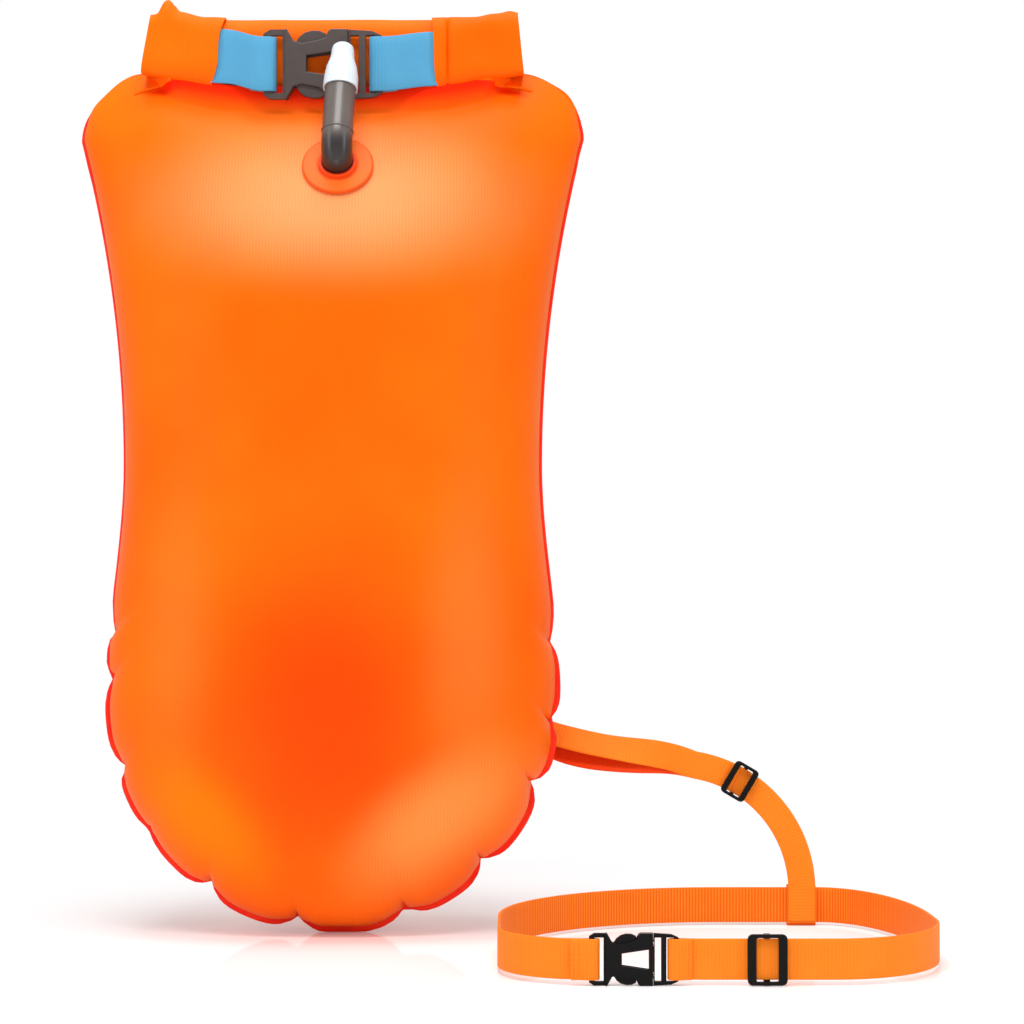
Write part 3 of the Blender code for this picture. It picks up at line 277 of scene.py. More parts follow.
def painted_light_patch(tree, place, middle, reach, slope):
    """Mask of one oval of painted light: 1 in its middle seen from the front, falling softly to 0 at its edge, on
    both panels. The oval's length slopes up to the right by so many degrees."""
    away = add_node(tree, "VectorMath", {0: place, 1: (middle[0], 0, middle[1])}, operation="SUBTRACT").outputs[0]
    turned = add_node(tree, "VectorRotate", {"Vector": away, "Angle": math.radians(slope)},
                      rotation_type="Y_AXIS").outputs[0]
    scaled = add_node(tree, "VectorMath", {0: turned, 1: (1 / reach[0], 0, 1 / reach[1])},
                      operation="MULTIPLY").outputs[0]
    far = add_node(tree, "VectorMath", {0: scaled}, operation="LENGTH").outputs["Value"]
    return add_node(tree, "MapRange", {0: far, 1: 0.0, 2: 1.0, 3: 1.0, 4: 0.0},
                    interpolation_type="SMOOTHERSTEP").outputs[0]


def painted_shade_under_roll(tree, place):
    """Mask of the painted shade under the rolled neck: 1 where the fabric gathers right under it, 0 from about a
    centimetre below it.
    """
    axes = add_node(tree, "SeparateXYZ", {0: place})
    side = calculate(tree, "ABSOLUTE", axes.outputs["X"])
    rise = calculate(tree, "MULTIPLY", calculate(tree, "POWER", side, 2.2), 0.0120 / 0.104 ** 2.2)
    below = calculate(tree, "SUBTRACT", calculate(tree, "ADD", rise, 0.4665), axes.outputs["Z"])
    band = add_node(tree, "MapRange", {0: below, 1: 0.0010, 2: 0.0130, 3: 1.0, 4: 0.0},
                    interpolation_type="SMOOTHSTEP").outputs[0]
    ends = add_node(tree, "MapRange", {0: side, 1: 0.085, 2: 0.108, 3: 1.0, 4: 0.0},
                    interpolation_type="SMOOTHSTEP").outputs[0]
    high = calculate(tree, "LESS_THAN", axes.outputs["Z"], 0.474)
    return calculate(tree, "MULTIPLY", calculate(tree, "MULTIPLY", band, ends), high)


def coated_fabric(name="coated_fabric", with_painted_light=True):
    """Orange coated fabric: threads under a soft film, with slow random changes of tone, and on the bag's panels
    painted highlights and painted shade.
    """
    material, tree, shader = new_material(name, colour("#FC6A04"))
    place = add_node(tree, "TexCoord").outputs["Object"]
    threads = thread_waves(tree, place, thread_pitch, thread_pitch * 1.3)
    cloud = add_node(tree, "TexNoise", {"Vector": place, "Scale": 9.0, "Detail": 3.0})
    tone = ramp(tree, cloud.outputs["Fac"], (0.35, colour("#FA6202")), (0.65, colour("#FD7008")))
    if with_painted_light:
        # Painted highlights and painted shade, as soft ovals on both panels
        for middle, reach, slope, strength, code in painted_light_patches:
            patch = painted_light_patch(tree, place, middle, reach, slope)
            tone = mix_colour(tree, calculate(tree, "MULTIPLY", patch, strength), tone, colour(code))
        # Painted shade: deep red in the fabric right under the rolled neck
        tone = mix_colour(tree, calculate(tree, "MULTIPLY", painted_shade_under_roll(tree, place), 0.95), tone, colour("#FA1A02"))
    shade = mix_colour(tree, calculate(tree, "MULTIPLY", threads, 0.16), tone, colour("#E84200"))
    rough = add_node(tree, "MapRange", {0: cloud.outputs["Fac"], 3: 0.40, 4: 0.48})
    bump = add_node(tree, "Bump", {"Height": threads, "Strength": 0.22, "Distance": 0.00012})
    fill(shader, tree, Base_Color=shade, Roughness=rough.outputs[0], Normal=bump.outputs[0],
         Specular_IOR_Level=0.06)
    return material


def weld_film():
    """The welded edge: both coats melted together, so it is deeper in colour and smoother."""
    material, tree, shader = new_material("weld_film", colour("#EE2000"))
    place = add_node(tree, "TexCoord").outputs["Object"]
    cloud = add_node(tree, "TexNoise", {"Vector": place, "Scale": 60.0, "Detail": 2.0})
    tone = ramp(tree, cloud.outputs["Fac"], (0.3, colour("#E81600")), (0.7, colour("#F82E00")))
    bump = add_node(tree, "Bump", {"Height": cloud.outputs["Fac"], "Strength": 0.3, "Distance": 0.0002})
    fill(shader, tree, Base_Color=tone, Roughness=0.36, Normal=bump.outputs[0], Specular_IOR_Level=0.2)
    return material


def flange_film():
    """The valve's welded patch: a slightly clear orange film, deeper at its edge, with painted shade deep red round the
    tube's base in its middle.
    """
    material, tree, shader = new_material("flange_film", colour("#FA6A1C"))
    place = add_node(tree, "TexCoord").outputs["Object"]
    flange_low, flange_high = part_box("valve_flange")
    middle = (flange_low + flange_high) / 2
    reach = add_node(tree, "VectorMath", {0: place, 1: middle}, operation="DISTANCE").outputs["Value"]
    # Painted shade: deep red round the tube's base, in the middle of the patch
    tone = ramp(tree, calculate(tree, "MULTIPLY", reach, 45.0), (0.42, colour("#E82602")), (0.56, colour("#F26A16")),
                (0.80, colour("#F06412")), (0.93, colour("#E84006")))
    fill(shader, tree, Base_Color=tone, Roughness=0.42, Specular_IOR_Level=0.15)
    return material


def webbing(name, base, deep, light, outer=0.14, inner=0.80, painted_shade_length=0.0):
    """Ribbed webbing. Its UV map is in metres: U along the strap and V across it, with 1 added to V on the
    strap's inner side, where the ribs of the weave stand out more."""
    material, tree, shader = new_material(name, colour(base))
    place = add_node(tree, "UVMap", uv_map="strap").outputs["UV"]
    across = add_node(tree, "SeparateXYZ", {0: place}).outputs["Y"]
    back = calculate(tree, "GREATER_THAN", across, 0.5)
    ribs = add_node(tree, "TexWave", {"Vector": place, "Scale": math.pi / 10 / web_rib_pitch, "Distortion": 0.25,
                                      "Detail": 1.0, "Detail Scale": 2.0},
                    wave_type="BANDS", bands_direction="X", wave_profile="SIN").outputs["Fac"]
    yarns = add_node(tree, "TexWave", {"Vector": place, "Scale": math.pi / 10 / (web_rib_pitch * 0.9),
                                       "Distortion": 0.4},
                     wave_type="BANDS", bands_direction="Y", wave_profile="SIN").outputs["Fac"]
    cloud = add_node(tree, "TexNoise", {"Vector": place, "Scale": 55.0, "Detail": 2.0})
    tone = mix_colour(tree, cloud.outputs["Fac"], colour(base), colour(light))
    # Painted shade: over its first stretch along U the strap is deepened to red-orange, as in the shade of the leash's
    # upper layer
    if painted_shade_length:
        along = add_node(tree, "SeparateXYZ", {0: place}).outputs["X"]
        shaded = add_node(tree, "MapRange", {0: along, 1: painted_shade_length - 0.012, 2: painted_shade_length, 3: 1.0, 4: 0.0},
                          interpolation_type="SMOOTHSTEP").outputs[0]
        tone = mix_colour(tree, shaded, tone, colour("#F0420A"))
    strength = add_node(tree, "MapRange", {0: back, 3: outer, 4: inner}).outputs[0]
    valleys = calculate(tree, "MULTIPLY", calculate(tree, "SUBTRACT", 1.0, ribs), strength)
    shade = mix_colour(tree, valleys, tone, colour(deep))
    weave = calculate(tree, "ADD", ribs, calculate(tree, "MULTIPLY", yarns, 0.35))
    bump = add_node(tree, "Bump", {"Height": weave, "Strength": 0.35, "Distance": 0.0002})
    fill(shader, tree, Base_Color=shade, Roughness=0.60, Normal=bump.outputs[0],
         Specular_IOR_Level=0.15, Sheen_Weight=0.06, Sheen_Roughness=0.4, Sheen_Tint=colour("#FFD8A8"))
    return material


def moulded(name, base, light, roughness, specular=0.25):
    """Moulded plastic with a fine grain and slightly lighter, worn high spots."""
    material, tree, shader = new_material(name, colour(base))
    place = add_node(tree, "TexCoord").outputs["Object"]
    grain = add_node(tree, "TexNoise", {"Vector": place, "Scale": 2600.0, "Detail": 2.0})
    cloud = add_node(tree, "TexNoise", {"Vector": place, "Scale": 120.0, "Detail": 2.0})
    tone = mix_colour(tree, cloud.outputs["Fac"], colour(base), colour(light))
    bump = add_node(tree, "Bump", {"Height": grain.outputs["Fac"], "Strength": 0.12, "Distance": 0.0001})
    rough = add_node(tree, "MapRange", {0: cloud.outputs["Fac"], 3: roughness - 0.05, 4: roughness + 0.05})
    fill(shader, tree, Base_Color=tone, Roughness=rough.outputs[0], Normal=bump.outputs[0],
         Specular_IOR_Level=specular)
    return material


def glossy_vinyl():
    """The valve's dark flexible tube: smooth and glossy, with faint moulding waves, and painted shade making its elbow
    much darker than its straight run.
    """
    material, tree, shader = new_material("glossy_vinyl", colour("#3A322E"))
    place = add_node(tree, "TexCoord").outputs["Object"]
    cloud = add_node(tree, "TexNoise", {"Vector": place, "Scale": 90.0, "Detail": 2.0})
    # Painted shade: below the straight run the elbow is near black
    height = add_node(tree, "SeparateXYZ", {0: place}).outputs["Z"]
    upper = add_node(tree, "MapRange", {0: height, 1: 0.433, 2: 0.441, 3: 0.0, 4: 1.0},
                     interpolation_type="SMOOTHSTEP").outputs[0]
    tone = mix_colour(tree, cloud.outputs["Fac"], colour("#4E4540"), colour("#5F5650"))
    tone = mix_colour(tree, upper, colour("#1E1816"), tone)
    bump = add_node(tree, "Bump", {"Height": cloud.outputs["Fac"], "Strength": 0.15, "Distance": 0.0004})
    fill(shader, tree, Base_Color=tone, Roughness=0.34, Normal=bump.outputs[0], Coat_Weight=0.1)
    return material


def wire_steel():
    """Bright drawn wire with fine lines along it."""
    material, tree, shader = new_material("wire_steel", colour("#B8BABD"))
    place = add_node(tree, "TexCoord").outputs["Object"]
    lines = add_node(tree, "TexNoise", {"Vector": place, "Scale": 900.0, "Detail": 2.0})
    rough = add_node(tree, "MapRange", {0: lines.outputs["Fac"], 3: 0.2, 4: 0.35})
    fill(shader, tree, Base_Color=colour("#C4C6C9"), Metallic=1.0, Roughness=rough.outputs[0])
    return material


finishes = {
    "coated_fabric": coated_fabric(),
    "rolled_fabric": coated_fabric("rolled_fabric", False),
    "weld_film": weld_film(),
    "flange_film": flange_film(),
    "orange_webbing": webbing("orange_webbing", "#F87C14", "#DC4E00", "#FA8A20"),
    # The leash's main run, with painted shade over its doubled stretch
    "shaded_webbing": webbing("shaded_webbing", "#F87C14", "#DC4E00", "#FA8A20", 0.14, 0.14, painted_shade_length=0.108),
    "blue_webbing": webbing("blue_webbing", "#4C96BE", "#3A7EA8", "#569FC4", 0.10, 0.10),
    "sewing_thread": moulded("sewing_thread", "#E85C04", "#F47414", 0.6),
    "grey_acetal": moulded("grey_acetal", "#433B39", "#4E4543", 0.42),
    "black_acetal": moulded("black_acetal", "#060505", "#0B0A0A", 0.34, 0.14),
    "white_plastic": moulded("white_plastic", "#C6D0D6", "#D2DBE0", 0.35),
    "glossy_vinyl": glossy_vinyl(),
    "wire_steel": wire_steel(),
}
print("finishes", sorted(finishes))

# %% [markdown]
# ## Hard parts carried over
#
# The moulded and turned parts keep their CAD shape, and each only gets its finish.

# %% Hard parts carried over
carried = {
    "grey_acetal": ("closure_buckle_female", "closure_buckle_male", "closure_prong_upper", "closure_prong_lower"),
    "black_acetal": ("belt_buckle_female", "belt_buckle_male", "belt_prong_upper", "belt_prong_lower",
                     "belt_slider", "leash_slider"),
    "white_plastic": ("mouthpiece", "valve_core", "mouth_stiffener"),
    "glossy_vinyl": ("valve_seal",),
    "flange_film": ("valve_flange",),
    "wire_steel": ("leash_ring", "valve_spring"),
}
for finish, names in carried.items():
    for name in names:
        nodes[name].data.materials.clear()
        nodes[name].data.materials.append(finishes[finish])
print("carried parts", sum(len(names) for names in carried.values()))

# %% [markdown]
# ## The bag's form
#
# An inflated two-panel bag has a flat outline, pulled in at puckers where the weld can't shorten evenly. Each
# panel bulges from that outline as a shallow pillow. The form is written as a few formulas: half width by
# height, depth by place, and the pucker places round the bottom. Its sizes are the frame's own.

# %% The bag's form
rim_low, rim_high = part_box("weld_rim")
panel_low, panel_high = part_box("front_panel")
roll_low, roll_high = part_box("roll_neck")

bag_depth = -panel_low.y
base_half_width = 0.128
base_height = 0.130
belly_height = 0.150
waist_half_width = 0.1175
waist_height = 0.262
crown_height = 0.355
shoulder_half_width = rim_high.x
shoulder_height = 0.444
neck_half_width = 0.106
neck_height = rim_high.z
ear_rise = 0.0125
ear_start = 0.050
rest_cut = 0.0012
pucker_depth = 0.0085
lobe_power = 3.5
rim_width = 0.003
rim_land = 0.004
rim_thickness = 0.0014
shoulder_power = 1.8
section_power = 2.2
crown_power = 1.5
crown_fullness = 0.7
pucker_reach = 8
bag_centre_height = 0.250

# Puckers along the bottom: share of a turn from straight down, share of the pucker depth
pucker_shares = (
    (-0.297, 0.45), (-0.267, 0.60), (-0.202, 0.80), (-0.155, 0.35), (-0.096, 0.95), (-0.026, 1.00),
    (0.055, 1.00), (0.122, 0.95), (0.190, 1.00), (0.236, 0.75), (0.291, 0.50),
)
crease_depth = 0.0022
crease_width = 0.0016
crease_reach = 0.0066
lobe_rim = 0.0034
side_rim = 0.0017
notch_cover = 0.88
notch_reach = 0.0042
neck_tuck = 0.0214
neck_lift = 0.0016
film_thickness = 0.0006
outline_steps = 640
panel_rings = 72


def smooth_step(share):
    share = min(1.0, max(0.0, share))
    return share * share * (3 - 2 * share)


def ear_height(x):
    """Height of the bag's top edge: it rises to the ears at both ends of the roll."""
    return neck_height + ear_rise * smooth_step((abs(x) - ear_start) / (neck_half_width - ear_start))


def bag_half_width(height):
    """Half the width of the bag's outline at a height, before the puckers."""
    if height < base_height:
        drop = (base_height - height) / (base_height + rest_cut)
        return base_half_width * math.sqrt(max(0, 1 - drop ** 2))
    if height < waist_height:
        share = (height - base_height) / (waist_height - base_height)
        return base_half_width + (waist_half_width - base_half_width) * smooth_step(share)
    if height < shoulder_height:
        share = (height - waist_height) / (shoulder_height - waist_height)
        return waist_half_width + (shoulder_half_width - waist_half_width) * share ** 2
    share = min(1, (height - shoulder_height) / (neck_height + ear_rise - shoulder_height))
    corner = (1 - share ** shoulder_power) ** (1 / shoulder_power)
    return neck_half_width + (shoulder_half_width - neck_half_width) * corner


def bag_surface(x, height):
    """Distance of the inflated surface from the seam plane."""
    top = ear_height(x)
    if height <= -rest_cut or height >= top:
        return 0
    across = min(1, abs(x) / bag_half_width(height))
    section = math.sqrt(1 - across ** section_power)
    if height < belly_height:
        drop = (belly_height - height) / (belly_height + rest_cut)
        return bag_depth * section * math.sqrt(1 - drop ** 2)
    if height > crown_height:
        share = (height - crown_height) / (top - crown_height)
        return bag_depth * section * (1 - share ** crown_power) ** crown_fullness
    return bag_depth * section


def outline_height(turn):
    return base_height - (base_height + rest_cut) * math.cos(math.tau * turn)


def outline_places():
    """The outline as rows of x, height, fold share and crease place, evenly spaced along each stretch."""
    rows = []
    per_turn = outline_steps * 0.68
    for (turn, depth), (next_turn, next_depth) in zip(pucker_shares, pucker_shares[1:]):
        count = max(8, round((next_turn - turn) * per_turn))
        for step in range(count):
            share = step / count
            angle = turn + (next_turn - turn) * share
            height = outline_height(angle)
            fold = (depth + (next_depth - depth) * share) * abs(2 * share - 1) ** lobe_power
            rows.append((math.copysign(bag_half_width(height), angle), height, fold))
    first_height = outline_height(pucker_shares[0][0])
    last_height = outline_height(pucker_shares[-1][0])
    top_height = neck_height + ear_rise
    side_count, shoulder_count, top_count = 80, 36, 101
    right, left = [], []
    for side, sign, start, depth in ((right, 1, last_height, pucker_shares[-1][1]),
                                     (left, -1, first_height, pucker_shares[0][1])):
        for step in range(side_count):
            share = step / side_count
            height = start + (shoulder_height - start) * share
            fold = depth * max(0, 1 - share * side_count / 7) ** 2
            side.append((sign * bag_half_width(height), height, fold))
        for step in range(shoulder_count):
            turn = math.pi / 2 * step / shoulder_count
            height = shoulder_height + (top_height - shoulder_height) * math.sin(turn) ** (2 / shoulder_power)
            side.append((sign * bag_half_width(height), height, 0))
    top = []
    for step in range(top_count):
        x = neck_half_width * (1 - 2 * step / (top_count - 1))
        top.append((x, ear_height(x), 0))
    return np.array(rows + right + top + left[:0:-1])


def placed_outline(rows, inset):
    """The outline in world X and Z, folded in at the puckers, moved inward and trimmed flat at the foot."""
    flat = rows[:, :2]
    along = np.roll(flat, -1, 0) - np.roll(flat, 1, 0)
    along /= np.linalg.norm(along, axis=1)[:, None]
    inward = np.stack((-along[:, 1], along[:, 0]), 1)
    placed = flat + inward * (inset + rows[:, 2] * pucker_depth)[:, None]
    placed[:, 1] = np.maximum(placed[:, 1], inset)
    return placed


def run_lengths(points):
    """Distance along a closed run of points."""
    steps = np.linalg.norm(np.roll(points, -1, 0) - points, axis=1)
    return np.concatenate(([0], np.cumsum(steps)))


outline = outline_places()
# The photo's left shoulder slopes more than the form's and its right shoulder is fuller, each by 3 mm.
outline[:, 1] -= 0.0033 * np.exp(-((outline[:, 0] + 0.1285) / 0.009) ** 2) * (outline[:, 1] > 0.43)
outline[:, 1] += 0.0028 * np.exp(-((outline[:, 0] - 0.1335) / 0.007) ** 2) * (outline[:, 1] > 0.43)
outline_run = run_lengths(outline[:, :2])
print("outline", len(outline), "places,", round(outline_run[-1], 3), "m round")

# %% [markdown]
# ## Front and back panels
#
# Each panel starts as half of a UV sphere. Its rings are laid from the middle of the bag out to the weld, its
# depth comes from the form above, and creases are pressed in at each pucker. They are deepest at the weld and
# die away over a few centimetres, with the fabric swelling slightly between them. This is sculpting by rule:
# it keeps the panel exactly on the CAD's form, where a free cloth simulation would drift from it.

# %% Front and back panels
def clear_selection():
    bpy.ops.object.select_all(action="DESELECT")


def give_mesh(item, name, finish, slot, body, *replaced):
    """Names a piece, gives it its finish, attaches it to its body and hides the CAD nodes that it stands for. A
    body is a name; for fabric that crosses a joint it is two names and two places, which are not used, and the
    piece is then fixed where it lies."""
    item.name = name
    item.data.name = name
    item.data.materials.clear()
    item.data.materials.append(finishes[finish])
    if isinstance(body, str):
        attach(item, body)
    else:
        first, second, start, end = body
        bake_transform(item)
        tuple(start)
        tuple(end)
    if replaced:
        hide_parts(*replaced)
    return item


def crease_field(run, inset):
    """Depth of the pucker creases and height of the swells between them, at a place along and in from the rim."""
    field = 0.0
    for index, (turn, depth) in enumerate(pucker_shares):
        centre = pucker_runs[index]
        gap = abs(run - centre)
        gap = min(gap, outline_run[-1] - gap)
        width = crease_width + 0.22 * inset
        field -= depth * crease_depth * math.exp(-(gap / width) ** 2) * math.exp(-(inset / crease_reach) ** 1.5)
        swell = math.exp(-((gap - 3.2 * width) / (2.2 * width)) ** 2) * math.exp(-(inset / (crease_reach * 2.0)) ** 2)
        field += 0.12 * depth * crease_depth * swell
    return field


def rim_shown():
    """How much of the weld shows outside the panel at each outline place: most at a lobe, none at a notch."""
    widths = []
    for index, (x, height, _) in enumerate(outline):
        width = side_rim + (lobe_rim - side_rim) * smooth_step((0.175 - height) / 0.05)
        width -= (side_rim - 0.0002) * smooth_step((height - 0.452) / 0.014)
        for pucker, (turn, depth) in zip(pucker_runs, pucker_shares):
            gap = abs(outline_run[index] - pucker)
            gap = min(gap, outline_run[-1] - gap)
            width *= 1 - notch_cover * min(1, depth * 1.3) * math.exp(-(gap / notch_reach) ** 2)
        widths.append(width)
    return np.array(widths)


def pucker_run(turn):
    height = outline_height(turn)
    place = np.array((math.copysign(bag_half_width(height), turn), height))
    return outline_run[int(np.argmin(np.linalg.norm(outline[:, :2] - place, axis=1)))]


pucker_runs = [pucker_run(turn) for turn, depth in pucker_shares]


def build_panel(name, side, node):
    """An inflated panel: half a sphere laid over the form, creased at the puckers."""
    count = len(outline)
    placed = placed_outline(outline, rim_shown())
    clear_selection()
    bpy.ops.mesh.primitive_uv_sphere_add(segments=count, ring_count=2 * panel_rings, radius=1, location=(0, 0, 0))
    item = bpy.context.object
    shape = bmesh.new()
    shape.from_mesh(item.data)
    hidden = [vertex for vertex in shape.verts if vertex.co.z * side < -0.5 / panel_rings ** 2]
    bmesh.ops.delete(shape, geom=hidden, context="VERTS")
    seam = rim_thickness / 2
    for vertex in shape.verts:
        spread = min(1, math.hypot(vertex.co.x, vertex.co.y))
        index = round(math.atan2(vertex.co.y, vertex.co.x) / math.tau * count) % count
        x, height, _ = outline[index]
        flat_x = x * spread
        flat_z = bag_centre_height + (height - bag_centre_height) * spread
        depth = bag_surface(flat_x, flat_z) if spread < 0.99999 else 0
        pull = spread ** pucker_reach
        inset_now = (1 - spread) * math.hypot(x, height - bag_centre_height)
        crease = crease_field(outline_run[index], inset_now) if flat_z < 0.30 and inset_now < 0.07 else 0
        tuck = 0
        if side > 0 and height > neck_height - 0.004 and abs(x) < neck_half_width - 0.001:
            tuck = smooth_step((spread - 0.78) / 0.20) * smooth_step((neck_half_width - abs(x)) / 0.016)
        vertex.co = (flat_x + (placed[index, 0] - x) * pull, -side * max(depth, seam, neck_tuck * tuck),
                     flat_z + (placed[index, 1] - height) * pull + neck_lift * tuck * smooth_step((spread - 0.9) / 0.1))
        inward = Vector((-x, 0, bag_centre_height - height)).normalized()
        lean = spread ** 3
        push = inward * lean + Vector((0, side * (1 - lean * 0.55), 0))
        if spread < 0.99999:
            vertex.co -= push * crease
    bmesh.ops.recalc_face_normals(shape, faces=shape.faces)
    middle = min(shape.faces, key=lambda face: face.calc_center_median().y * side)
    if middle.normal.y * side > 0:
        bmesh.ops.reverse_faces(shape, faces=shape.faces)
    shape.to_mesh(item.data)
    shape.free()
    film = item.modifiers.new("film", "SOLIDIFY")
    film.thickness = film_thickness
    film.offset = -1
    bpy.ops.object.modifier_apply(modifier="film")
    item.data.shade_smooth()
    item.data.set_sharp_from_angle(angle=math.radians(70))
    give_mesh(item, name, "coated_fabric", "coated_fabric", "bag", node)
    return item


front_panel = build_panel("panel_front", 1, "front_panel")
back_panel = build_panel("panel_back", -1, "back_panel")
print("panel faces", len(front_panel.data.polygons), len(back_panel.data.polygons))

# %% [markdown]
# ## Weld rim
#
# The rim starts as a torus with as many segments as the outline. Its small section is flattened to the two
# welded films, with rounded edges, and it waves out of the seam plane between the puckers as a welded edge does.

# %% Weld rim
def build_rim():
    """The welded band round the bag, on the scalloped outline."""
    count = len(outline)
    around = 12
    clear_selection()
    bpy.ops.mesh.primitive_torus_add(major_segments=count, minor_segments=around, major_radius=1,
                                     minor_radius=0.2, location=(0, 0, 0))
    item = bpy.context.object
    outer = placed_outline(outline, 0)
    inner = placed_outline(outline, rim_width + rim_land)
    shape = bmesh.new()
    shape.from_mesh(item.data)
    for vertex in shape.verts:
        index = round(math.atan2(vertex.co.y, vertex.co.x) / math.tau * count) % count
        reach = (math.hypot(vertex.co.x, vertex.co.y) - 1) / 0.2
        share = (1 + math.copysign(abs(reach) ** 0.6, reach)) / 2
        thick = math.copysign(abs(vertex.co.z / 0.2) ** 0.6, vertex.co.z)
        place = inner[index] + (outer[index] - inner[index]) * share
        run = outline_run[index]
        low = smooth_step((0.30 - outline[index, 1]) / 0.25)
        wave = noise.noise(Vector((run * 38, 0, 0))) * 0.0009 * share * (0.25 + 0.75 * low)
        vertex.co = (place[0], -thick * rim_thickness / 2 + wave, place[1])
    bmesh.ops.recalc_face_normals(shape, faces=shape.faces)
    shape.to_mesh(item.data)
    shape.free()
    item.data.shade_smooth()
    return give_mesh(item, "rim_weld", "weld_film", "weld_film", "bag", "weld_rim")


rim = build_rim()
print("rim faces", len(rim.data.polygons))

# %% [markdown]
# ## Straps
#
# Every webbing strap is one grid laid along stations, a place and the direction of its width, then given
# its thickness and rounded edges by modifiers. Its UV map holds real metres, so the weave keeps its scale
# on every strap.

# %% Straps
def arc(centre, radius, start_deg, end_deg, steps):
    """Points on an arc in a plane, both ends included."""
    points = []
    for step in range(steps + 1):
        angle = math.radians(start_deg + (end_deg - start_deg) * step / steps)
        points.append((centre[0] + radius * math.cos(angle), centre[1] + radius * math.sin(angle)))
    return points


def even_stations(stations, spacing):
    """The same run of stations, laid again at an even spacing on straight or curved stretches."""
    places = np.array([tuple(place) for place, _ in stations])
    edges = np.array([tuple(edge) for _, edge in stations])
    steps = np.linalg.norm(np.diff(places, axis=0), axis=1)
    run = np.concatenate(([0], np.cumsum(steps)))
    wanted = np.linspace(0, run[-1], max(2, round(run[-1] / spacing)) + 1)
    fresh = []
    for distance in wanted:
        place = [np.interp(distance, run, places[:, axis]) for axis in range(3)]
        edge = Vector([np.interp(distance, run, edges[:, axis]) for axis in range(3)]).normalized()
        fresh.append((Vector(place), edge))
    return fresh, wanted


def soften(stations, rounds):
    """Smooths a run of stations, with both ends held."""
    for _ in range(rounds):
        middle = [((before[0] + 2 * now[0] + after[0]) / 4, now[1])
                  for before, now, after in zip(stations, stations[1:], stations[2:])]
        stations = [stations[0]] + middle + [stations[-1]]
    return stations


def build_strap(name, stations, width, thickness, finish, body, *replaced, spacing=0.0015, rounds=2, inner=1,
                plain_end=0.0):
    """A webbing strap from its stations. inner is the side, 1 or -1, that shows the stronger ribs, up to
    plain_end before the strap's end."""
    stations, run = even_stations(stations, spacing)
    stations = soften(stations, rounds)
    across = 6
    clear_selection()
    bpy.ops.mesh.primitive_grid_add(x_subdivisions=len(stations) - 1, y_subdivisions=across, size=2,
                                    location=(0, 0, 0), calc_uvs=True)
    item = bpy.context.object
    mesh = item.data
    layer = mesh.uv_layers[0]
    layer.name = "strap"
    last = len(stations) - 1
    for loop in mesh.loops:
        place = mesh.vertices[loop.vertex_index].co
        index = round((place.x + 1) / 2 * last)
        layer.data[loop.index].uv = (run[index], place.y * width / 2)
    for vertex in mesh.vertices:
        index = round((vertex.co.x + 1) / 2 * last)
        place, edge = stations[index]
        vertex.co = place + edge * (vertex.co.y * width / 2)
    solidify = item.modifiers.new("thickness", "SOLIDIFY")
    solidify.thickness = thickness
    solidify.offset = 0
    bpy.ops.object.modifier_apply(modifier="thickness")
    mark_inner_side(mesh, stations, inner, run[-1] - plain_end)
    bevel = item.modifiers.new("edges", "BEVEL")
    bevel.width = thickness * 0.3
    bevel.segments = 2
    bevel.limit_method = "ANGLE"
    bevel.angle_limit = math.radians(50)
    bpy.ops.object.modifier_apply(modifier="edges")
    item.data.shade_smooth()
    slot = "orange_webbing" if finish == "shaded_webbing" else finish
    return give_mesh(item, name, finish, slot, body, *replaced)


def mark_inner_side(mesh, stations, inner, last_run):
    """Adds 1 to V on the faces that look to the strap's inner side."""
    layer = mesh.uv_layers["strap"]
    pitch = station_pitch(stations)
    for face in mesh.polygons:
        along_run = sum(layer.data[loop].uv.x for loop in face.loop_indices) / len(face.loop_indices)
        if along_run > last_run:
            continue
        index = min(len(stations) - 2, max(1, round(along_run / pitch)))
        along = stations[index + 1][0] - stations[index - 1][0]
        side = along.cross(stations[index][1])
        if face.normal.dot(side) * inner > 0.5 * side.length:
            for loop in face.loop_indices:
                layer.data[loop].uv.y += 1


def station_pitch(stations):
    """Mean distance from one station to the next."""
    return sum((after[0] - before[0]).length for before, after in zip(stations, stations[1:])) / (len(stations) - 1)


print("strap tools ready")

# %% [markdown]
# ## Rolled neck
#
# The neck is a flat sheet rolled forward twice. Its section is a rounded spiral, and the roll's ends stand
# higher than its middle because the inflated shoulders lift them. A small soft unevenness runs over it.

# %% Rolled neck
sheet_thickness = 0.0016
roll_half_width = roll_high.x
roll_depth = 0.022
roll_pitch = 0.0040
roll_turns = 2.25
roll_squareness = 3.5
roll_middle_y = -roll_depth / 2 + sheet_thickness / 2
roll_front_y = roll_middle_y - roll_depth / 2
roll_front_bottom = 0.4665
roll_end_rise = 0.0120
roll_top = 0.5090


def roll_under(x, front):
    """Height of the roll's under side at a place along it: the front hangs a little lower than the back."""
    share = min(1.0, abs(x) / roll_half_width)
    low_front = roll_front_bottom + roll_end_rise * share ** 2.2
    low_back = ear_height(x) + 0.0006
    return low_front + (low_back - low_front) * (1 - front)


def roll_crest(x):
    """How far the roll's top stands over its middle height: a peak at each end."""
    left = 0.0064 * math.exp(-((x + 0.0944) / 0.0042) ** 2) + 0.0026 * smooth_step((-x - 0.070) / 0.016)
    left -= 0.0020 * smooth_step((-x - 0.0965) / 0.004)
    right = 0.0012 * smooth_step((x - 0.081) / 0.010) + 0.0012 * math.exp(-((x - 0.1005) / 0.0036) ** 2)
    return left + right


def roll_edge(side, height):
    """Half length of the roll at a height: its ends slant outward towards the bag."""
    drop = min(1.0, max(0.0, (roll_top - height) / 0.030))
    return 0.1032 + 0.0033 * drop if side > 0 else 0.0985 + 0.0054 * drop


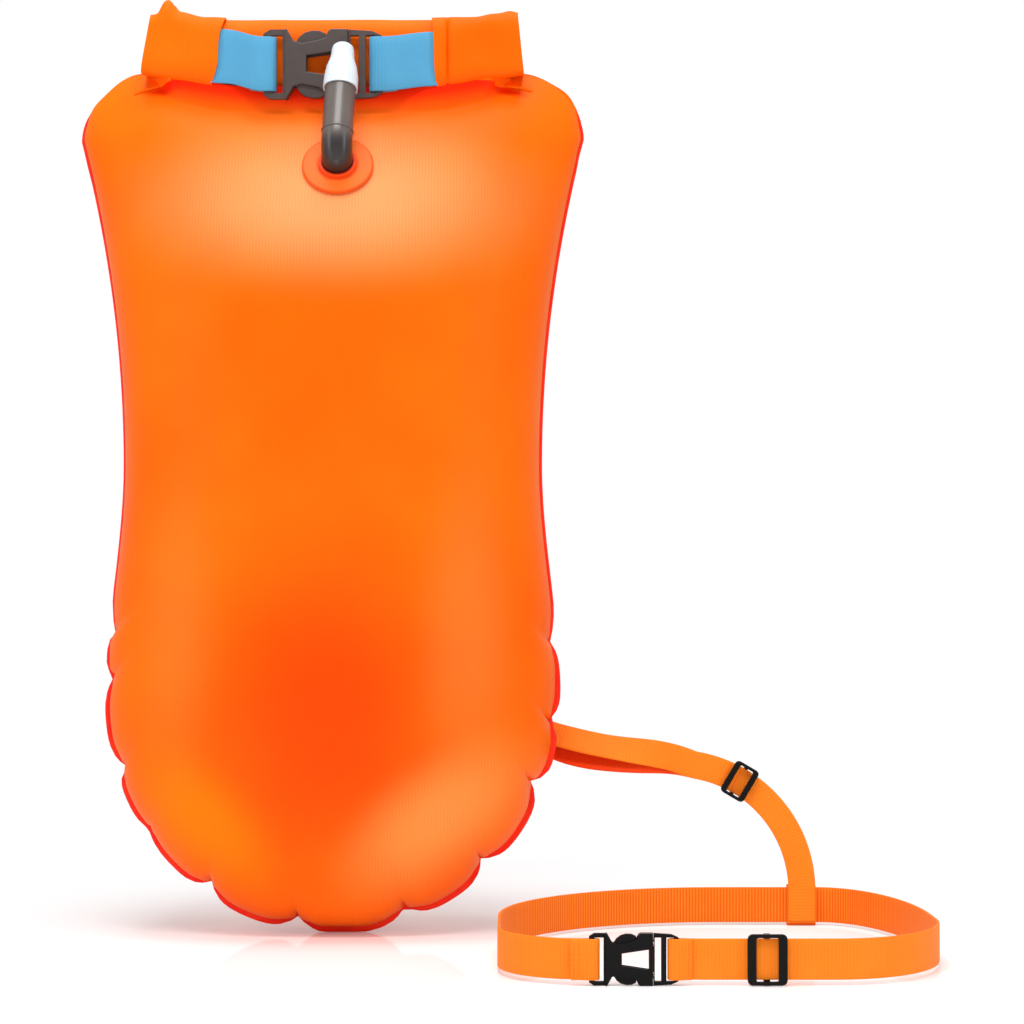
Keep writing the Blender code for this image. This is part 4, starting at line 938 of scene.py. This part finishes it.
def roll_section(angle_deg, growth, x, squareness=roll_squareness, front_growth=0.0):
    """A place on the roll's rounded section at a place along it."""
    angle = math.radians(angle_deg)
    power = 2 / squareness
    across = math.copysign(abs(math.cos(angle)) ** power, math.cos(angle))
    upward = math.copysign(abs(math.sin(angle)) ** power, math.sin(angle))
    low = roll_under(x, (1 - across) / 2)
    high = roll_top + roll_crest(x)
    half_depth = roll_depth / 2 - sheet_thickness / 2 + growth
    half_height = (high - low) / 2 - sheet_thickness / 2 + growth
    y = roll_middle_y + half_depth * across - front_growth * max(0.0, -across)
    return Vector((x, y, (high + low) / 2 + half_height * upward))


def fabric_ripple(place, scale, depth):
    """A small soft unevenness, the same on every run."""
    return noise.noise(Vector(place) * scale) * depth


def build_sheet(name, columns, rows, place_at, thickness, body, *replaced, flat=None):
    """A fabric sheet from a grid: place_at takes the shares across and along and gives a place."""
    clear_selection()
    bpy.ops.mesh.primitive_grid_add(x_subdivisions=columns, y_subdivisions=rows, size=2, location=(0, 0, 0))
    item = bpy.context.object
    for vertex in item.data.vertices:
        vertex.co = place_at((vertex.co.x + 1) / 2, (vertex.co.y + 1) / 2)
    solidify = item.modifiers.new("thickness", "SOLIDIFY")
    solidify.thickness = thickness
    solidify.offset = 0
    bpy.ops.object.modifier_apply(modifier="thickness")
    item.data.shade_smooth()
    item.data.set_sharp_from_angle(angle=math.radians(50))
    give_mesh(item, name, "rolled_fabric", "coated_fabric", body, *replaced)
    return item


def roll_place(across, along):
    """The rolled sheet: up from the neck and round the spiral."""
    share = across * 2 - 1
    x = share * roll_half_width
    start = 0.03
    turn = max(0.0, (along - start) / (1 - start)) * roll_turns
    place = roll_section(360 * turn, -roll_pitch * max(0.0, turn - 0.5), x)
    if along < start:
        foot = Vector((x, place.y, ear_height(x) - 0.004))
        place = foot + (place - foot) * (along / start)
    else:
        place.y += fabric_ripple(place, 42, 0.0009)
        place.z += fabric_ripple(place + Vector((1, 0, 0)), 30, 0.0005)
    place.x = share * roll_edge(share, place.z)
    return place


rolled_neck = build_sheet("neck_rolled", 170, 190, roll_place, sheet_thickness, "bag", "roll_neck",
                          flat=2 * roll_half_width)
print("roll faces", len(rolled_neck.data.polygons))

# %% [markdown]
# ## Shoulder pleats
#
# Where the wide shoulders gather into the narrower roll, the fabric lies in small pleats. Each is a narrow
# sheet laid on the front panel, with a rounded lower edge that stands up from it.

# %% Shoulder pleats
pleat_thickness = 0.0008
pleat_lift = 0.0016
# Places x and z along each pleat's lower and upper edges, from its outer end to its end under the roll
pleats = {
    "pleat_left": (((-0.1100, 0.4678), (-0.1030, 0.4702), (-0.0960, 0.4722), (-0.0880, 0.4738)),
                   ((-0.1090, 0.4722), (-0.1030, 0.4756), (-0.0960, 0.4784), (-0.0880, 0.4796))),
    "pleat_right": (((0.1120, 0.4700), (0.1050, 0.4716), (0.0980, 0.4722), (0.0910, 0.4722)),
                    ((0.1110, 0.4736), (0.1050, 0.4766), (0.0980, 0.4784), (0.0910, 0.4784))),
}


def panel_front_y(tree, x, height):
    """Where the front panel's face is, straight behind a place seen from the front."""
    hit = tree.ray_cast(Vector((x, -0.4, height)), Vector((0, 1, 0)))[0]
    return hit.y if hit and hit.y < 0 else -0.001


def build_pleat(name, low_edge, high_edge):
    """One pleat, as a narrow grid between its two edges."""
    tree = BVHTree.FromObject(front_panel, bpy.context.evaluated_depsgraph_get())
    clear_selection()
    bpy.ops.mesh.primitive_grid_add(x_subdivisions=40, y_subdivisions=12, size=2, location=(0, 0, 0))
    item = bpy.context.object
    for vertex in item.data.vertices:
        along = (vertex.co.x + 1) / 2 * (len(low_edge) - 1)
        up = (vertex.co.y + 1) / 2
        marks = range(len(low_edge))
        low = Vector([np.interp(along, marks, [place[axis] for place in low_edge]) for axis in (0, 1)])
        high = Vector([np.interp(along, marks, [place[axis] for place in high_edge]) for axis in (0, 1)])
        place = low + (high - low) * up
        share = along / (len(low_edge) - 1)
        stand = pleat_lift * math.sin(math.pi * min(1, share * 1.3)) * (1 - up) ** 0.8 * smooth_step(up / 0.22 + 0.1)
        vertex.co = (place.x, panel_front_y(tree, place.x, place.y) - pleat_thickness * 0.4 - stand, place.y)
    solidify = item.modifiers.new("thickness", "SOLIDIFY")
    solidify.thickness = pleat_thickness
    solidify.offset = 0
    bpy.ops.object.modifier_apply(modifier="thickness")
    item.data.shade_smooth()
    item.data.set_sharp_from_angle(angle=math.radians(60))
    give_mesh(item, name, "rolled_fabric", "coated_fabric", "bag")
    return item


for pleat_name, (low_edge, high_edge) in pleats.items():
    build_pleat(pleat_name, low_edge, high_edge)
print("pleats", sorted(pleats))

# %% [markdown]
# ## Roll ends
#
# Each end of the roll is folded round over the closure strap, so the strap comes out from under a slanting
# fabric edge.

# %% Roll ends
wrap_thickness = 0.0012
closure_strap_thickness = 0.0014
clearance = 0.0003
# Where the fold's slanting edge crosses the roll's front: half lengths at its top and its bottom
wrap_edges = {-1: (0.0578, 0.0656), 1: (0.0562, 0.0588)}


def build_roll_end(name, side, node):
    """One end of the roll, turned over the closure strap."""
    skin = sheet_thickness / 2 + wrap_thickness / 2 + clearance
    over_strap = closure_strap_thickness + 2 * clearance
    edge_top, edge_bottom = wrap_edges[side]

    def place_at(across, along):
        angle = 35 + (300 - 35) * along
        down = smooth_step((angle - 115) / 130)
        inner = edge_top + (edge_bottom - edge_top) * down
        x = side * (inner + (roll_half_width - inner) * across)
        over = over_strap * smooth_step((angle - 95) / 30) * smooth_step((292 - angle) / 25)
        settled = smooth_step((across - 0.35) / 0.5)
        on_top = 1 - smooth_step((angle - 100) / 30)
        growth = skin * (1 - 0.85 * on_top * (1 - settled))
        place = roll_section(angle, growth, x, roll_squareness + 1 + settled, over)
        outer = roll_edge(side, place.z) + 0.0006
        place.x = side * (inner + (outer - inner) * across)
        soft = smooth_step(across / 0.25)
        place.y += fabric_ripple(place, 60, 0.0016) * soft
        place.z += fabric_ripple(place + Vector((0, 3, 0)), 45, 0.0010) * soft
        if side > 0:
            fold = (place.x - (edge_bottom + 0.0062)) / 0.0012
            place.y += 0.0021 * math.exp(-fold ** 2) * math.exp(-((angle - 180) / 60) ** 2)
        return place

    return build_sheet(name, 84, 120, place_at, wrap_thickness, "bag", node, flat=0.045)


build_roll_end("roll_end_left_fold", -1, "roll_end_left")
build_roll_end("roll_end_right_fold", 1, "roll_end_right")
print("roll ends made")

# %% [markdown]
# ## Closure straps
#
# Light blue webbing, 30 mm wide. Each strap comes from under its roll end, runs over the buckle's bar and
# turns back under itself.

# %% Closure straps
closure_webbing = 0.030
closure_centre = Vector((-0.0034, roll_front_y - 0.0048, 0.4815))
closure_strap_rises = {-1: 0.0054, 1: 0.0040}
closure_strap_ends = {-1: 0.0662, 1: 0.0596}
closure_fold_length = 0.014
bar_inner_share = 0.96
half_length_share = 1.095
plug_bar_share = 0.068
socket_bar_share = 0.055


def build_closure_strap(name, side, body, node):
    """One closure strap, from the roll's end round the buckle's bar."""
    size = closure_webbing
    thickness = closure_strap_thickness
    centre = closure_centre
    bar_half = plug_bar_share if side > 0 else socket_bar_share
    radius = bar_half * size + clearance + thickness / 2
    slot_x = centre.x + side * bar_inner_share * size
    front_y = centre.y - radius
    seat_y = roll_front_y - clearance - thickness / 2
    bend_x = side * wrap_edges[side][0]
    rise = closure_strap_rises[side]
    landing_x = centre.x + side * half_length_share * size
    edge = Vector((0, 0, 1))
    stations = [(Vector((side * closure_strap_ends[side], seat_y, centre.z + rise * 1.1)), edge)]
    for step in range(13):
        share = step / 12
        settle = smooth_step(share)
        place = Vector((bend_x + (landing_x - bend_x) * share, seat_y + (front_y - seat_y) * settle,
                        centre.z + rise * (1 - settle)))
        stations.append((place, edge))
    for x, y in arc((0, 0), radius, -90, 90, 12):
        stations.append((Vector((slot_x - side * x, centre.y + y, centre.z)), edge))
    stations.append((Vector((landing_x + side * (closure_fold_length - size * 0.2), centre.y + radius,
                             centre.z + rise * 0.3)), edge))
    return build_strap(name, stations, size, thickness, "blue_webbing", body, node, spacing=0.0012, rounds=1)


build_closure_strap("closure_web_left", -1, "bag", "closure_strap_left")
crossing = ("bag", "closure_plug", (0.072, 0, closure_centre.z), (0.040, 0, closure_centre.z))
build_closure_strap("closure_web_right", 1, crossing, "closure_strap_right")
print("closure straps made")

# %% [markdown]
# ## Leash
#
# The leash is 15.5 mm webbing. It loops through the ring on the back of the bag, runs doubled to its slider,
# and falls in an arc to the belt. All runs lie where the CAD's do.

# %% Leash
leash_webbing = 0.0155
leash_thickness = 0.0014
leash_ring_spread = 0.0050
leash_slider_spread = 0.0018
leash_arc_radius = 0.073
leash_arc_centre = (0.1934, 0.0200)
leash_start = Vector((0.1100, 0.0445, 0.1130))
leash_plane_y = 0.0246
leash_settle_x = 0.175
leash_sag = 0.0088
leash_hump = 0.0026
leash_lean_deg = 36
slider_turn_deg = 30.5
anchor_place_x = 0.082
anchor_height = 0.114
anchor_patch_length = 0.044
anchor_patch_width = 0.034
anchor_patch_thickness = 0.0012
ring_wire_radius = 0.0011
belt_thickness = 0.0016
belt_lift = leash_thickness + clearance


def leash_entry():
    """Where the leash's run meets its arc."""
    return (leash_arc_centre[0] + 0.15 * leash_arc_radius,
            leash_arc_centre[1] + leash_arc_radius * math.sqrt(1 - 0.15 ** 2))


def leash_height(x):
    entry_x, entry_z = leash_entry()
    share = (x - leash_start.x) / (entry_x - leash_start.x)
    slope = -0.15 / math.sqrt(1 - 0.15 ** 2) * (entry_x - leash_start.x)
    start_slope = (entry_z - leash_start.z) * 1.2
    cubic, square = share ** 3, share ** 2
    return ((2 * cubic - 3 * square + 1) * leash_start.z + (cubic - 2 * square + share) * start_slope
            + (3 * square - 2 * cubic) * entry_z + (cubic - square) * slope)


def leash_plane(x):
    share = min(1, max(0, (x - leash_start.x) / (leash_settle_x - leash_start.x)))
    return leash_plane_y + (leash_start.y - leash_plane_y) * (1 - share) ** 2


def leash_spread(x):
    share = min(1, (x - leash_start.x) / (leash_settle_x - leash_start.x))
    return (leash_ring_spread + (leash_slider_spread - leash_ring_spread) * share) / 2


def leash_run(side, sag, steps=24):
    """Places along one layer of the leash, from the ring to the start of its arc."""
    entry_x, _ = leash_entry()
    points = []
    for step in range(steps):
        share = step / steps
        x = leash_start.x + (entry_x - leash_start.x) * share
        drop = sag * math.sin(math.pi * share ** 0.55)
        hump = leash_hump * math.sin(math.pi * share ** 3)
        points.append(Vector((x, leash_plane(x) + side * leash_spread(x), leash_height(x) + hump - drop)))
    return points


def leash_arc(side, start_deg, end_deg, steps):
    y = leash_plane_y + side * leash_slider_spread / 2
    return [Vector((x, y, z)) for x, z in arc(leash_arc_centre, leash_arc_radius, start_deg, end_deg, steps)]


def leash_stations(points, ring_edge):
    """Stations whose edge turns from the ring's bar to square with the run. Between the ring and the slider
    the webbing leans back a little."""
    stations = []
    entry_x, _ = leash_entry()
    for index, place in enumerate(points):
        before = points[max(0, index - 1)]
        after = points[min(len(points) - 1, index + 1)]
        square = (after - before).normalized().cross(Vector((0, 1, 0))).normalized()
        along = (place.x - leash_start.x) / (entry_x - leash_start.x)
        lean = math.radians(leash_lean_deg) * (1 - smooth_step((along - 0.45) / 0.5))
        square = square * math.cos(lean) + Vector((0, math.sin(lean), 0))
        share = smooth_step(index / 4)
        stations.append((place, (ring_edge + (square - ring_edge) * share).normalized()))
    return stations


def cad_surface(x, height):
    """The CAD's back surface near the anchor, below the crown."""
    across = min(1, abs(x) / bag_half_width(height))
    drop = (belly_height - height) / (belly_height + rest_cut)
    return bag_depth * math.sqrt(1 - across ** section_power) * math.sqrt(1 - max(0, drop) ** 2)


def anchor_frame():
    """Local X along the back panel towards the leash, local Z outward."""
    step = clearance
    depth = cad_surface(anchor_place_x, anchor_height)
    slope_x = (cad_surface(anchor_place_x + step, anchor_height) - depth) / step
    slope_z = (cad_surface(anchor_place_x, anchor_height + step) - depth) / step
    normal = Vector((-slope_x, 1, -slope_z)).normalized()
    place = Vector((anchor_place_x, depth, anchor_height)) + normal * clearance
    pull = leash_start - place
    along = (pull - normal * pull.dot(normal)).normalized()
    turn = Matrix((along, normal.cross(along), normal)).transposed().to_4x4()
    return Matrix.Translation(place) @ turn


def build_anchor():
    """The welded patch and its webbing loop. Gives the direction of the ring's bar."""
    frame_here = anchor_frame()
    half = anchor_patch_thickness / 2
    clear_selection()
    bpy.ops.mesh.primitive_grid_add(x_subdivisions=44, y_subdivisions=34, size=2, location=(0, 0, 0))
    item = bpy.context.object
    corner = 4
    for vertex in item.data.vertices:
        u, v = vertex.co.x, vertex.co.y
        reach = max(abs(u), abs(v))
        norm = (abs(u) ** corner + abs(v) ** corner) ** (1 / corner)
        scale = reach / norm if norm > 0 else 1
        lift = 0.0003 * math.cos(u * math.pi * 9) * math.cos(v * math.pi * 7) * (0.5 if reach > 0.75 else 0)
        vertex.co = frame_here @ Vector((u * scale * anchor_patch_length / 2, v * scale * anchor_patch_width / 2,
                                         half + lift))
    solidify = item.modifiers.new("thickness", "SOLIDIFY")
    solidify.thickness = anchor_patch_thickness
    solidify.offset = 0
    bpy.ops.object.modifier_apply(modifier="thickness")
    item.data.shade_smooth()
    item.data.set_sharp_from_angle(angle=math.radians(50))
    give_mesh(item, "anchor_weld_patch", "weld_film", "weld_film", "bag", "anchor_patch")
    loop_radius = ring_wire_radius + clearance + leash_thickness / 2
    low = 2 * half + clearance + leash_thickness / 2
    ring_x = anchor_patch_length / 2
    edge = frame_here.to_3x3() @ Vector((0, 1, 0))
    path = [(-anchor_patch_length / 3, low), (ring_x - loop_radius, low)]
    path += [(ring_x - loop_radius + x, low + loop_radius + y) for x, y in arc((0, 0), loop_radius, -75, 90, 10)]
    path += [(-anchor_patch_length / 4, low + 2 * loop_radius)]
    stations = [(frame_here @ Vector((x, 0, z)), edge) for x, z in path]
    build_strap("anchor_web_loop", stations, leash_webbing, leash_thickness, "orange_webbing", "bag",
                "anchor_loop", spacing=0.0009, rounds=1)
    bar = frame_here @ Vector((ring_x - loop_radius, 0, low + loop_radius))
    along = (leash_start - bar).normalized()
    across = (edge - along * edge.dot(along)).normalized()
    return across if across.z > 0 else -across


def build_leash(ring_edge):
    entry_deg = math.degrees(math.acos(0.15))
    main = leash_run(1, leash_sag) + leash_arc(1, entry_deg, 0, 16)
    main.append(Vector((main[-1].x, main[-1].y, belt_lift + 0.001)))
    stations = leash_stations(main, ring_edge)
    start, edge = stations[0]
    radius = leash_ring_spread / 2
    wrap = [(start + Vector((x, y - radius, 0)), edge) for x, y in arc((0, 0), radius, 260, 100, 12)]
    build_strap("leash_main", wrap + stations, leash_webbing, leash_thickness, "shaded_webbing", "bag",
                "leash_web", spacing=0.0010, rounds=2)
    slider_deg = 90 - slider_turn_deg
    back = leash_run(-1, 0) + leash_arc(-1, entry_deg, slider_deg + 2, 6)
    back[0].x += 0.002
    build_strap("leash_back", leash_stations(back, ring_edge), leash_webbing, leash_thickness, "orange_webbing",
                "bag", "leash_return", spacing=0.0010, rounds=2, inner=-1)


build_leash(build_anchor())
print("leash made")

# %% [markdown]
# ## Belt
#
# The waist belt is 20 mm webbing that stands on its edge in a closed band, with its ends folded back and
# sewn at the buckle.

# %% Belt
belt_webbing = 0.020
belt_left = 0.094
belt_right = 0.3195
belt_front = 0.190
belt_back = 0.029
# How far each rounded corner runs along the belt's front or back, and how deep it reaches
belt_corners = {"front_right": (0.062, 0.078), "back_right": (0.0445, 0.121), "back_left": (0.125, 0.125),
                "front_left": (0.045, 0.045)}
belt_buckle_x = 0.1599
belt_join_x = 0.2480
belt_tack_length = 0.009
belt_fold_end_x = 0.1880
belt_sleeve_x = 0.2662
belt_sleeve_width = 0.0165
buckle_half_height_share = 0.637
belt_tilt = math.asin(((buckle_half_height_share - 0.5) * belt_webbing - belt_lift) / (belt_front + belt_back))


def belt_frame():
    """The belt's plane: the sleeve lifts it at the back and the wider buckle lifts it at the front."""
    lift = Matrix.Translation((0, belt_back, belt_lift)) @ Matrix.Rotation(-belt_tilt, 4, "X")
    return lift @ Matrix.Translation((0, -belt_back, belt_webbing / 2))


def belt_corner(corner_x, corner_y, size, start_deg, steps):
    """A quarter of an ellipse that rounds one corner of the belt's loop."""
    run, depth = size
    sign_x = 1 if corner_x > (belt_left + belt_right) / 2 else -1
    sign_y = 1 if corner_y > 0 else -1
    turn = arc((0, 0), 1, start_deg, start_deg + 90, steps)
    return [(corner_x - sign_x * run + x * run, corner_y - sign_y * depth + y * depth) for x, y in turn]


def belt_stations(points):
    plane = belt_frame()
    edge = plane.to_3x3() @ Vector((0, 0, 1))
    return [(plane @ Vector((x, y, 0)), edge) for x, y in points]


def belt_eye(side, bar_share):
    """The belt's turn round a buckle bar: side is -1 at the socket and 1 at the plug."""
    size = belt_webbing
    bar = belt_buckle_x + side * bar_inner_share * size
    radius = bar_share * size + clearance + belt_thickness / 2
    layer = belt_thickness / 2 + clearance / 2
    eye_x = belt_buckle_x + side * half_length_share * size
    points = [(eye_x + side * belt_tack_length / 3, -belt_front + layer), (eye_x, -belt_front + radius)]
    points += [(bar - side * x, -belt_front + y) for x, y in arc((0, 0), radius, 90, -90, 12)]
    points += [(eye_x, -belt_front - radius), (eye_x + side * belt_tack_length / 3, -belt_front - layer)]
    return points, (eye_x + side * belt_tack_length, -belt_front - layer), -belt_front - layer


def build_belt():
    """The long run round the back, and the front run at the plug."""
    join = belt_thickness * 0.04
    points = [(belt_join_x - 0.003, -belt_front + join), (belt_join_x, -belt_front + join),
              (belt_join_x + 0.0015, -belt_front)]
    points += belt_corner(belt_right, -belt_front, belt_corners["front_right"], -90, 28)
    points += belt_corner(belt_right, belt_back, belt_corners["back_right"], 0, 32)
    points += belt_corner(belt_left, belt_back, belt_corners["back_left"], 90, 32)
    points += belt_corner(belt_left, -belt_front, belt_corners["front_left"], 180, 20)[:-4]
    eye, end, _ = belt_eye(-1, socket_bar_share)
    points += eye + [end]
    build_strap("belt_main", belt_stations(points), belt_webbing, belt_thickness, "orange_webbing", "bag",
                "belt_web", inner=-1, plain_end=0.030)
    eye, _, layer_y = belt_eye(1, plug_bar_share)
    points = [(belt_join_x, -belt_front), (belt_fold_end_x + belt_tack_length / 2, -belt_front)]
    points += eye + [(belt_fold_end_x, layer_y)]
    crossing = ("bag", "belt_plug", (belt_join_x, 0, 0), (belt_fold_end_x + 0.004, 0, 0))
    build_strap("belt_front", belt_stations(points), belt_webbing, belt_thickness, "orange_webbing", crossing,
                "belt_front_web", rounds=1, plain_end=0.030)
    return layer_y - belt_thickness / 2


def build_sleeve():
    """The sewn sleeve that ties the leash's end to the belt: a closed band of the leash's webbing."""
    gap = belt_thickness / 2 + clearance + leash_thickness / 2
    half_height = belt_webbing / 2 + clearance + leash_thickness / 2
    radius = 0.0009
    corners = ((1, 1, 0), (-1, 1, 90), (-1, -1, 180), (1, -1, 270))
    path = []
    for sign_y, sign_z, start in corners:
        path += arc((sign_y * (gap - radius), sign_z * (half_height - radius)), radius, start, start + 90, 5)
    path.append(path[0])
    plane = belt_frame()
    edge = Vector((1, 0, 0))
    stations = [(plane @ Vector((belt_sleeve_x, belt_back + y, z)), edge) for y, z in path]
    build_strap("leash_end_sleeve", stations, belt_sleeve_width, leash_thickness, "orange_webbing", "bag",
                "leash_sleeve", spacing=0.0009, rounds=0)


belt_fold_face = build_belt()
build_sleeve()
print("belt made")

# %% [markdown]
# ## Valve tube
#
# The oral valve's tube is a soft dark elbow. It is a curve with a round bevel, turned to a mesh, so it stays
# round at any size. A thin raised ring marks where its straight run begins.

# %% Valve tube
tube_radius = 0.0084
tube_ring_radius = 0.0089
tube_line = (
    (0.00600, -0.04400, 0.42098), (0.00600, -0.05063, 0.42489), (0.00601, -0.05218, 0.42600),
    (0.00602, -0.05352, 0.42735), (0.00605, -0.05460, 0.42892), (0.00609, -0.05540, 0.43065),
    (0.00614, -0.05589, 0.43249), (0.00620, -0.05605, 0.43439), (0.00626, -0.05588, 0.43629),
    (0.00633, -0.05538, 0.43813), (0.00746, -0.04466, 0.46756),
)
tube_direction = Vector((0.036073, 0.342020, 0.939)).normalized()


def build_tube():
    """The elbow tube as a swept curve, with its ring and its slim neck."""
    clear_selection()
    bpy.ops.curve.primitive_bezier_curve_add(location=(0, 0, 0))
    item = bpy.context.object
    line = item.data
    line.splines.clear()
    run = line.splines.new("POLY")
    places = [Vector(place) for place in tube_line]
    corner = places[-2]
    places[-1:] = [corner + (places[-1] - corner) * step / 8 for step in range(1, 9)]
    places.append(places[-1] + tube_direction * 0.0004)
    places.append(places[-1] + tube_direction * 0.0110)
    run.points.add(len(places) - 1)
    for index, place in enumerate(places):
        run.points[index].co = (*place, 1)
        run.points[index].radius = 1.0 if index < len(places) - 2 else 0.0067 / tube_radius
    ring_index = 10
    run.points[ring_index].radius = 1.0
    line.dimensions = "3D"
    line.bevel_depth = tube_radius
    line.bevel_resolution = 14
    line.use_fill_caps = True
    line.twist_mode = "MINIMUM"
    bpy.ops.object.convert(target="MESH")
    item = bpy.context.object
    ring_place = corner + tube_direction * 0.0014
    bpy.ops.mesh.primitive_torus_add(major_segments=56, minor_segments=14, major_radius=tube_radius,
                                     minor_radius=tube_ring_radius - tube_radius, location=ring_place,
                                     rotation=tube_direction.to_track_quat("Z", "Y").to_euler())
    ring = bpy.context.object
    bpy.ops.object.transform_apply(location=True, rotation=True, scale=True)
    item.select_set(True)
    bpy.context.view_layer.objects.active = item
    bpy.ops.object.join()
    bpy.ops.object.mode_set(mode="EDIT")
    bpy.ops.mesh.select_all(action="SELECT")
    bpy.ops.mesh.normals_make_consistent(inside=False)
    bpy.ops.object.mode_set(mode="OBJECT")
    item.data.shade_smooth()
    item.data.set_sharp_from_angle(angle=math.radians(45))
    return give_mesh(item, "valve_elbow_tube", "glossy_vinyl", "dark_elastomer", "bag", "valve_tube")


valve_elbow = build_tube()
print("tube faces", len(valve_elbow.data.polygons))

# %% [markdown]
# ## Sewing
#
# Each sewn fold of the belt and the anchor's loop has its stitches. One stitch is modelled, a small rounded
# grain of thread, and copied along the rows.

# %% Sewing
stitch_length = 0.0019
stitch_radius = 0.00022


def build_stitches(name, spots, body):
    """Copies of one stitch. A spot is its place, its direction and the direction outward from the fabric."""
    clear_selection()
    bpy.ops.mesh.primitive_uv_sphere_add(segments=8, ring_count=6, radius=1, location=(0, 0, 0))
    item = bpy.context.object
    shape = bmesh.new()
    shape.from_mesh(item.data)
    first = list(shape.verts)
    pattern = list(shape.verts) + list(shape.edges) + list(shape.faces)
    for place, along, outward in spots:
        copied = bmesh.ops.duplicate(shape, geom=pattern)["geom"]
        side = along.cross(outward).normalized()
        turn = Matrix((along * stitch_length / 2, side * stitch_radius, outward * stitch_radius)).transposed()
        for vertex in copied:
            if isinstance(vertex, bmesh.types.BMVert):
                vertex.co = place + turn @ vertex.co
    bmesh.ops.delete(shape, geom=first, context="VERTS")
    bmesh.ops.recalc_face_normals(shape, faces=shape.faces)
    shape.to_mesh(item.data)
    shape.free()
    item.data.shade_smooth()
    print(name, len(spots), "stitches")
    return give_mesh(item, name, "sewing_thread", "orange_webbing", body)


def belt_column(x, y, count):
    """A column of upright stitches across the belt, on its outer face."""
    plane = belt_frame()
    up = plane.to_3x3() @ Vector((0, 0, 1))
    out = plane.to_3x3() @ Vector((0, -1, 0))
    pitch = belt_webbing * 0.86 / count
    return [(plane @ Vector((x, y, (index - (count - 1) / 2) * pitch)), up, out) for index in range(count)]


socket_fold_x = belt_buckle_x - half_length_share * belt_webbing - belt_tack_length
build_stitches("belt_tack_plug", belt_column(belt_fold_end_x - 0.0016, belt_fold_face, 7)
               + belt_column(belt_fold_end_x - 0.0040, belt_fold_face, 7), "belt_plug")
build_stitches("belt_tack_socket", belt_column(socket_fold_x + 0.0016, belt_fold_face, 7)
               + belt_column(socket_fold_x + 0.0040, belt_fold_face, 7), "bag")


def anchor_spots():
    """A box of stitches where the loop is sewn to its patch."""
    turn = anchor_frame()
    spin = turn.to_3x3()
    low = anchor_patch_thickness + 2 * (ring_wire_radius + clearance + leash_thickness / 2) + clearance
    height = low + leash_thickness
    across, along, out = spin @ Vector((0, 1, 0)), spin @ Vector((1, 0, 0)), spin @ Vector((0, 0, 1))
    spots = []
    for index in range(5):
        for x in (-0.0085, 0.0035):
            spots.append((turn @ Vector((x, (index - 2) * 0.0025, height)), across, out))
        for y in (-0.0062, 0.0062):
            spots.append((turn @ Vector((-0.0075 + index * 0.0025, y, height)), along, out))
    return spots


build_stitches("anchor_tack", anchor_spots(), "bag")

# %% [markdown]
# ## Dry pocket
#
# The inner pouch between the panels is hidden, but it is made to the same form, so a cut view shows it.

# %% Dry pocket
pocket_inset = rim_width + rim_land + 0.001


def build_pocket():
    """A slack pouch: a flattened sphere laid on the outline."""
    count = len(outline)
    placed = placed_outline(outline, pocket_inset)
    clear_selection()
    bpy.ops.mesh.primitive_uv_sphere_add(segments=count, ring_count=24, radius=1, location=(0, 0, 0))
    item = bpy.context.object
    for vertex in item.data.vertices:
        spread = min(1, math.hypot(vertex.co.x, vertex.co.y))
        index = round(math.atan2(vertex.co.y, vertex.co.x) / math.tau * count) % count
        x, height, _ = outline[index]
        pull = spread ** pucker_reach
        depth = 0.005 * math.sqrt(max(0, 1 - spread ** 4)) + 0.0004
        flat_z = bag_centre_height + (height - bag_centre_height) * spread
        vertex.co = (x * spread + (placed[index, 0] - x) * pull, -math.copysign(depth, vertex.co.z),
                     flat_z + (placed[index, 1] - height) * pull)
    item.data.shade_smooth()
    return give_mesh(item, "pocket_dry", "coated_fabric", "pocket_film", "bag", "dry_pocket")


build_pocket()
print("pocket made")
